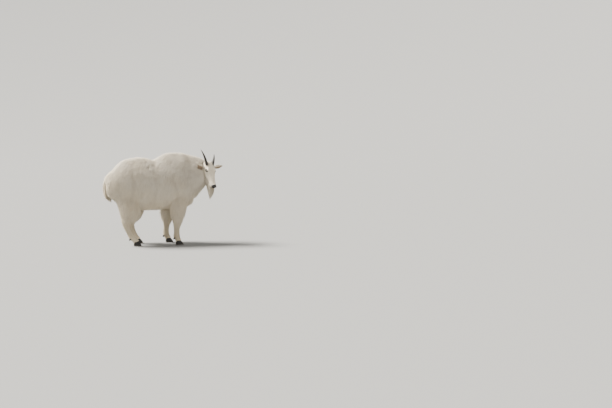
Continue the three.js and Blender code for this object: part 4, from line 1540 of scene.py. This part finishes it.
class GoatCoat(bpy.types.PropertyGroup):
    """The sizes of the coat, as shares of the modelled ones."""

    length: number_setting("Length", "Length of the hair", 1.0, 0.2, 1.2, subtype="FACTOR")
    width: number_setting("Tuft width", "Width of each tuft", 1.0, 0.3, 2, subtype="FACTOR")
    gather: number_setting(
        "Gather", "How far tips of neighbouring tufts draw together", 0.42, 0, 1, subtype="FACTOR"
    )
    lock: count_setting("Tufts in a lock", "How many tufts draw together", 14, 1, 100)
    density: number_setting("Density", "Number of tufts", 1.0, 0.05, 1, subtype="FACTOR")


class GoatHorns(bpy.types.PropertyGroup):
    """The horns."""

    rings: count_setting("Growth rings", "Number of growth rings along a horn", 13, 0, 40)


class GoatStage(bpy.types.PropertyGroup):
    """The studio's light."""

    key: number_setting("Key light", "Strength of the soft light from behind", 14.0, 0, 20)
    front: number_setting("Front light", "Strength of the light from the camera's side", 0.9, 0, 20)
    softness: number_setting(
        "Softness",
        "How wide the key light looks from the goat",
        math.radians(22),
        0,
        math.pi,
        subtype="ANGLE",
        unit="ROTATION",
    )
    fill: number_setting("Fill light", "Strength of the light from all round", 0.37, 0, 10)


class GoatSettings(bpy.types.PropertyGroup):
    """Everything about the goat that a user may change."""

    colours: bpy.props.PointerProperty(
        type=GoatColours, name="Colours", description="Colours of goat and studio"
    )
    coat: bpy.props.PointerProperty(type=GoatCoat, name="Coat", description="Sizes of the coat")
    horns: bpy.props.PointerProperty(type=GoatHorns, name="Horns", description="The horns")
    stage: bpy.props.PointerProperty(type=GoatStage, name="Stage", description="The studio's light")


def settings():
    return bpy.context.scene.mountain_goat


# ---- Operators ----------------------------------------------------------------------------------


class GOAT_OT_skin(bpy.types.Operator):
    """Makes the skin of head, body and legs, with lids, lips, nostrils and ears"""

    bl_idname = "goat.skin"
    bl_label = "Skin"

    def execute(self, context):
        make_skin(settings().colours)
        return {"FINISHED"}


class GOAT_OT_eyes(bpy.types.Operator):
    """Makes both eyes, with their level pupils"""

    bl_idname = "goat.eyes"
    bl_label = "Eyes"

    def execute(self, context):
        for side in SIDES:
            make_eye(side, settings().colours)
        return {"FINISHED"}


class GOAT_OT_horns(bpy.types.Operator):
    """Makes both horns, with their growth rings"""

    bl_idname = "goat.horns"
    bl_label = "Horns"

    def execute(self, context):
        for side in SIDES:
            make_horn(side, settings().horns.rings, settings().colours)
        return {"FINISHED"}


class GOAT_OT_hooves(bpy.types.Operator):
    """Makes the two toes and two dew claws of each hoof"""

    bl_idname = "goat.hooves"
    bl_label = "Hooves"

    def execute(self, context):
        for leg in LEGS:
            for side in SIDES:
                make_claw(leg, side, settings().colours)
                make_dew_claw(leg, side, settings().colours)
        return {"FINISHED"}


UNDER = {"kind": "fine", "length": 0.62, "width": 0.8, "gather": 0.25, "stray": 0.1}
BEARD = {"chin": (245, -30, 0), "below": (-18, 10, -320), "half": 45}


def grow(hide, name, where, count, seed, kind="medium", **look):
    """Grows one piece of coat, with the user's settings under its own look."""
    coat = settings().coat
    full = {"stray": 0.07, "curl": 0.03, "free": 1, "soft": 0.62}
    full.update(gather=coat.gather, lock=coat.lock, length=coat.length, width=coat.width)
    full.update(look)
    count = max(int(count * (coat.density * 1.0)), 10)
    piece = coat_piece(hide, name, where, count, np.random.default_rng(seed), kind, full)
    return finished(piece, hide.coat, "coat")


def trunk_coat(hide):
    """The long coat of neck, shoulder, flank and haunch on both sides, over its undercoat."""
    x, y, _ = millimetres(hide.places).T
    flank = {"left": y > 0, "right": y <= 0}
    for i, side in enumerate(SIDES):
        here = hide.is_in("trunk") & flank[side]
        areas = {
            "haunch": here & (x < -190),
            "flank": here & (x >= -190) & (x < 90),
            "shoulder": here & (x >= 90),
            "neck": hide.is_in("neck") & flank[side],
        }
        for k, (area, where) in enumerate(areas.items()):
            seed = 10 * k + i
            grow(hide, f"{side}_{area}_undercoat", where, 13500, 200 + seed, **UNDER)
            grow(hide, f"{side}_{area}_coat", where, 6000, 100 + seed)


def leg_coat(hide):
    """Breeches and chaps over an undercoat, and short hair below hock and knee."""
    height = millimetres(hide.places)[:, 2]
    for i, name in enumerate(LEGS):
        here = hide.is_in(name)
        long, short = here & (height > 225), here & (height <= 240)
        grow(hide, f"{name}_coat", long, 3200, 60 + i, gather=0.4)
        grow(hide, f"{name}_undercoat", long, 6500, 64 + i, **UNDER)
        grow(hide, f"{name}_short_coat", short, 7500, 70 + i, "fine", gather=0.2, stray=0.12)


def head_coat(hide):
    """Short hair on face and ears, and longer on crown, cheeks and jaw."""
    head = hide.is_in("head")
    ruff = head & (hide.values[:, 0] > 15)
    ear = hide.is_in("ear")
    grow(hide, "cheek_coat", ruff, 4200, 80, gather=0.35)
    grow(hide, "cheek_undercoat", ruff, 6000, 83, **UNDER)
    fine = {"kind": "fine", "stray": 0.14}
    grow(hide, "face_coat", head & ~ruff, 24000, 81, gather=0.15, soft=0.3, **fine)
    fine["stray"] = 0.2
    grow(hide, "ear_coat", ear, 9000, 82, gather=0.2, soft=0.4, **fine)


def beard_coat(hide):
    """The long hair that hangs from the chin and jaw and draws together to one tip."""
    down, out, left = head_place(hide.places).T
    aside = np.abs(left) / BEARD["half"]
    under = smooth(-out, 14, 30) * (down > 96) * (down < 268) * (aside < 1)
    where = hide.is_in("head") & (under > 0.2)
    values = hide.values
    share = smooth(down, 96, 235)
    same = np.ones(len(share))
    long = (70 + 66 * share) * (1 - 0.5 * np.clip(aside, 0, 1) ** 1.5)
    hide.values = np.stack([long, 8 * same, 1.75 * same, 0.95 * same, 1 + share], axis=1)
    target = metres(on_head(*BEARD["chin"])) + np.array(BEARD["below"]) * MM
    hanging = {"target": target, "soft": 0.1}
    long_look = {"kind": "long", "gather": 0.3, "lock": 16, "curl": 0.08, "free": 5}
    grow(hide, "beard_coat", where, 7200, 90, **long_look, **hanging)
    under_look = {"kind": "fine", "length": 0.6, "width": 1.1}
    grow(hide, "beard_undercoat", where, 6500, 91, **under_look, **hanging)
    hide.values = values


class GOAT_OT_coat(bpy.types.Operator):
    """Grows the coat over the skin, region by region, as tufts that lie along the body"""

    bl_idname = "goat.coat"
    bl_label = "Coat"

    def execute(self, context):
        hide = Hide(bpy.data.objects[SKIN].data)
        hide.coat = coat_material(settings().colours)
        trunk_coat(hide)
        grow(hide, "tail_coat", hide.is_in("tail"), 1700, 50, "long", soft=0.3)
        leg_coat(hide)
        head_coat(hide)
        beard_coat(hide)
        return {"FINISHED"}


class GOAT_OT_stage(bpy.types.Operator):
    """Makes the floor, the light and the camera"""

    bl_idname = "goat.stage"
    bl_label = "Stage"

    def execute(self, context):
        stage = settings().stage
        make_camera()
        make_floor(settings().colours)
        make_world(stage.fill, (1.0, 0.985, 0.96))
        key = {"angle": stage.softness, "color": (1, 0.965, 0.89)}
        make_lamp("key", KEY_FROM, stage.key, **key)
        front = {"angle": stage.softness * 2, "color": (1, 0.99, 0.97)}
        make_lamp("front", FRONT_FROM, stage.front, **front)
        return {"FINISHED"}


class GOAT_PT_panel(bpy.types.Panel):
    """Lists the goat's settings and the steps that make it"""

    bl_idname = "GOAT_PT_panel"
    bl_label = "Mountain goat"
    bl_space_type = "VIEW_3D"
    bl_region_type = "UI"
    bl_category = "Goat"

    def draw(self, context):
        goat = context.scene.mountain_goat
        for group in (goat.colours, goat.coat, goat.horns, goat.stage):
            box = self.layout.box()
            for key in group.__annotations__:
                box.prop(group, key)
        for operator in OPERATORS:
            self.layout.operator(operator.bl_idname)


OPERATORS = (GOAT_OT_stage, GOAT_OT_skin, GOAT_OT_eyes, GOAT_OT_horns, GOAT_OT_hooves, GOAT_OT_coat)
CLASSES = (GoatColours, GoatCoat, GoatHorns, GoatStage, GoatSettings, *OPERATORS, GOAT_PT_panel)


def register():
    for each in CLASSES:
        bpy.utils.register_class(each)
    bpy.types.Scene.mountain_goat = bpy.props.PointerProperty(
        type=GoatSettings, name="Mountain goat", description="The goat's settings"
    )


def unregister():
    del bpy.types.Scene.mountain_goat
    for each in reversed(CLASSES):
        bpy.utils.unregister_class(each)


def main():
    register()
    bpy.ops.goat.stage()
    bpy.ops.goat.skin()
    bpy.ops.goat.eyes()
    bpy.ops.goat.horns()
    bpy.ops.goat.hooves()
    bpy.ops.goat.coat()


if __name__ == "__main__":
    main()
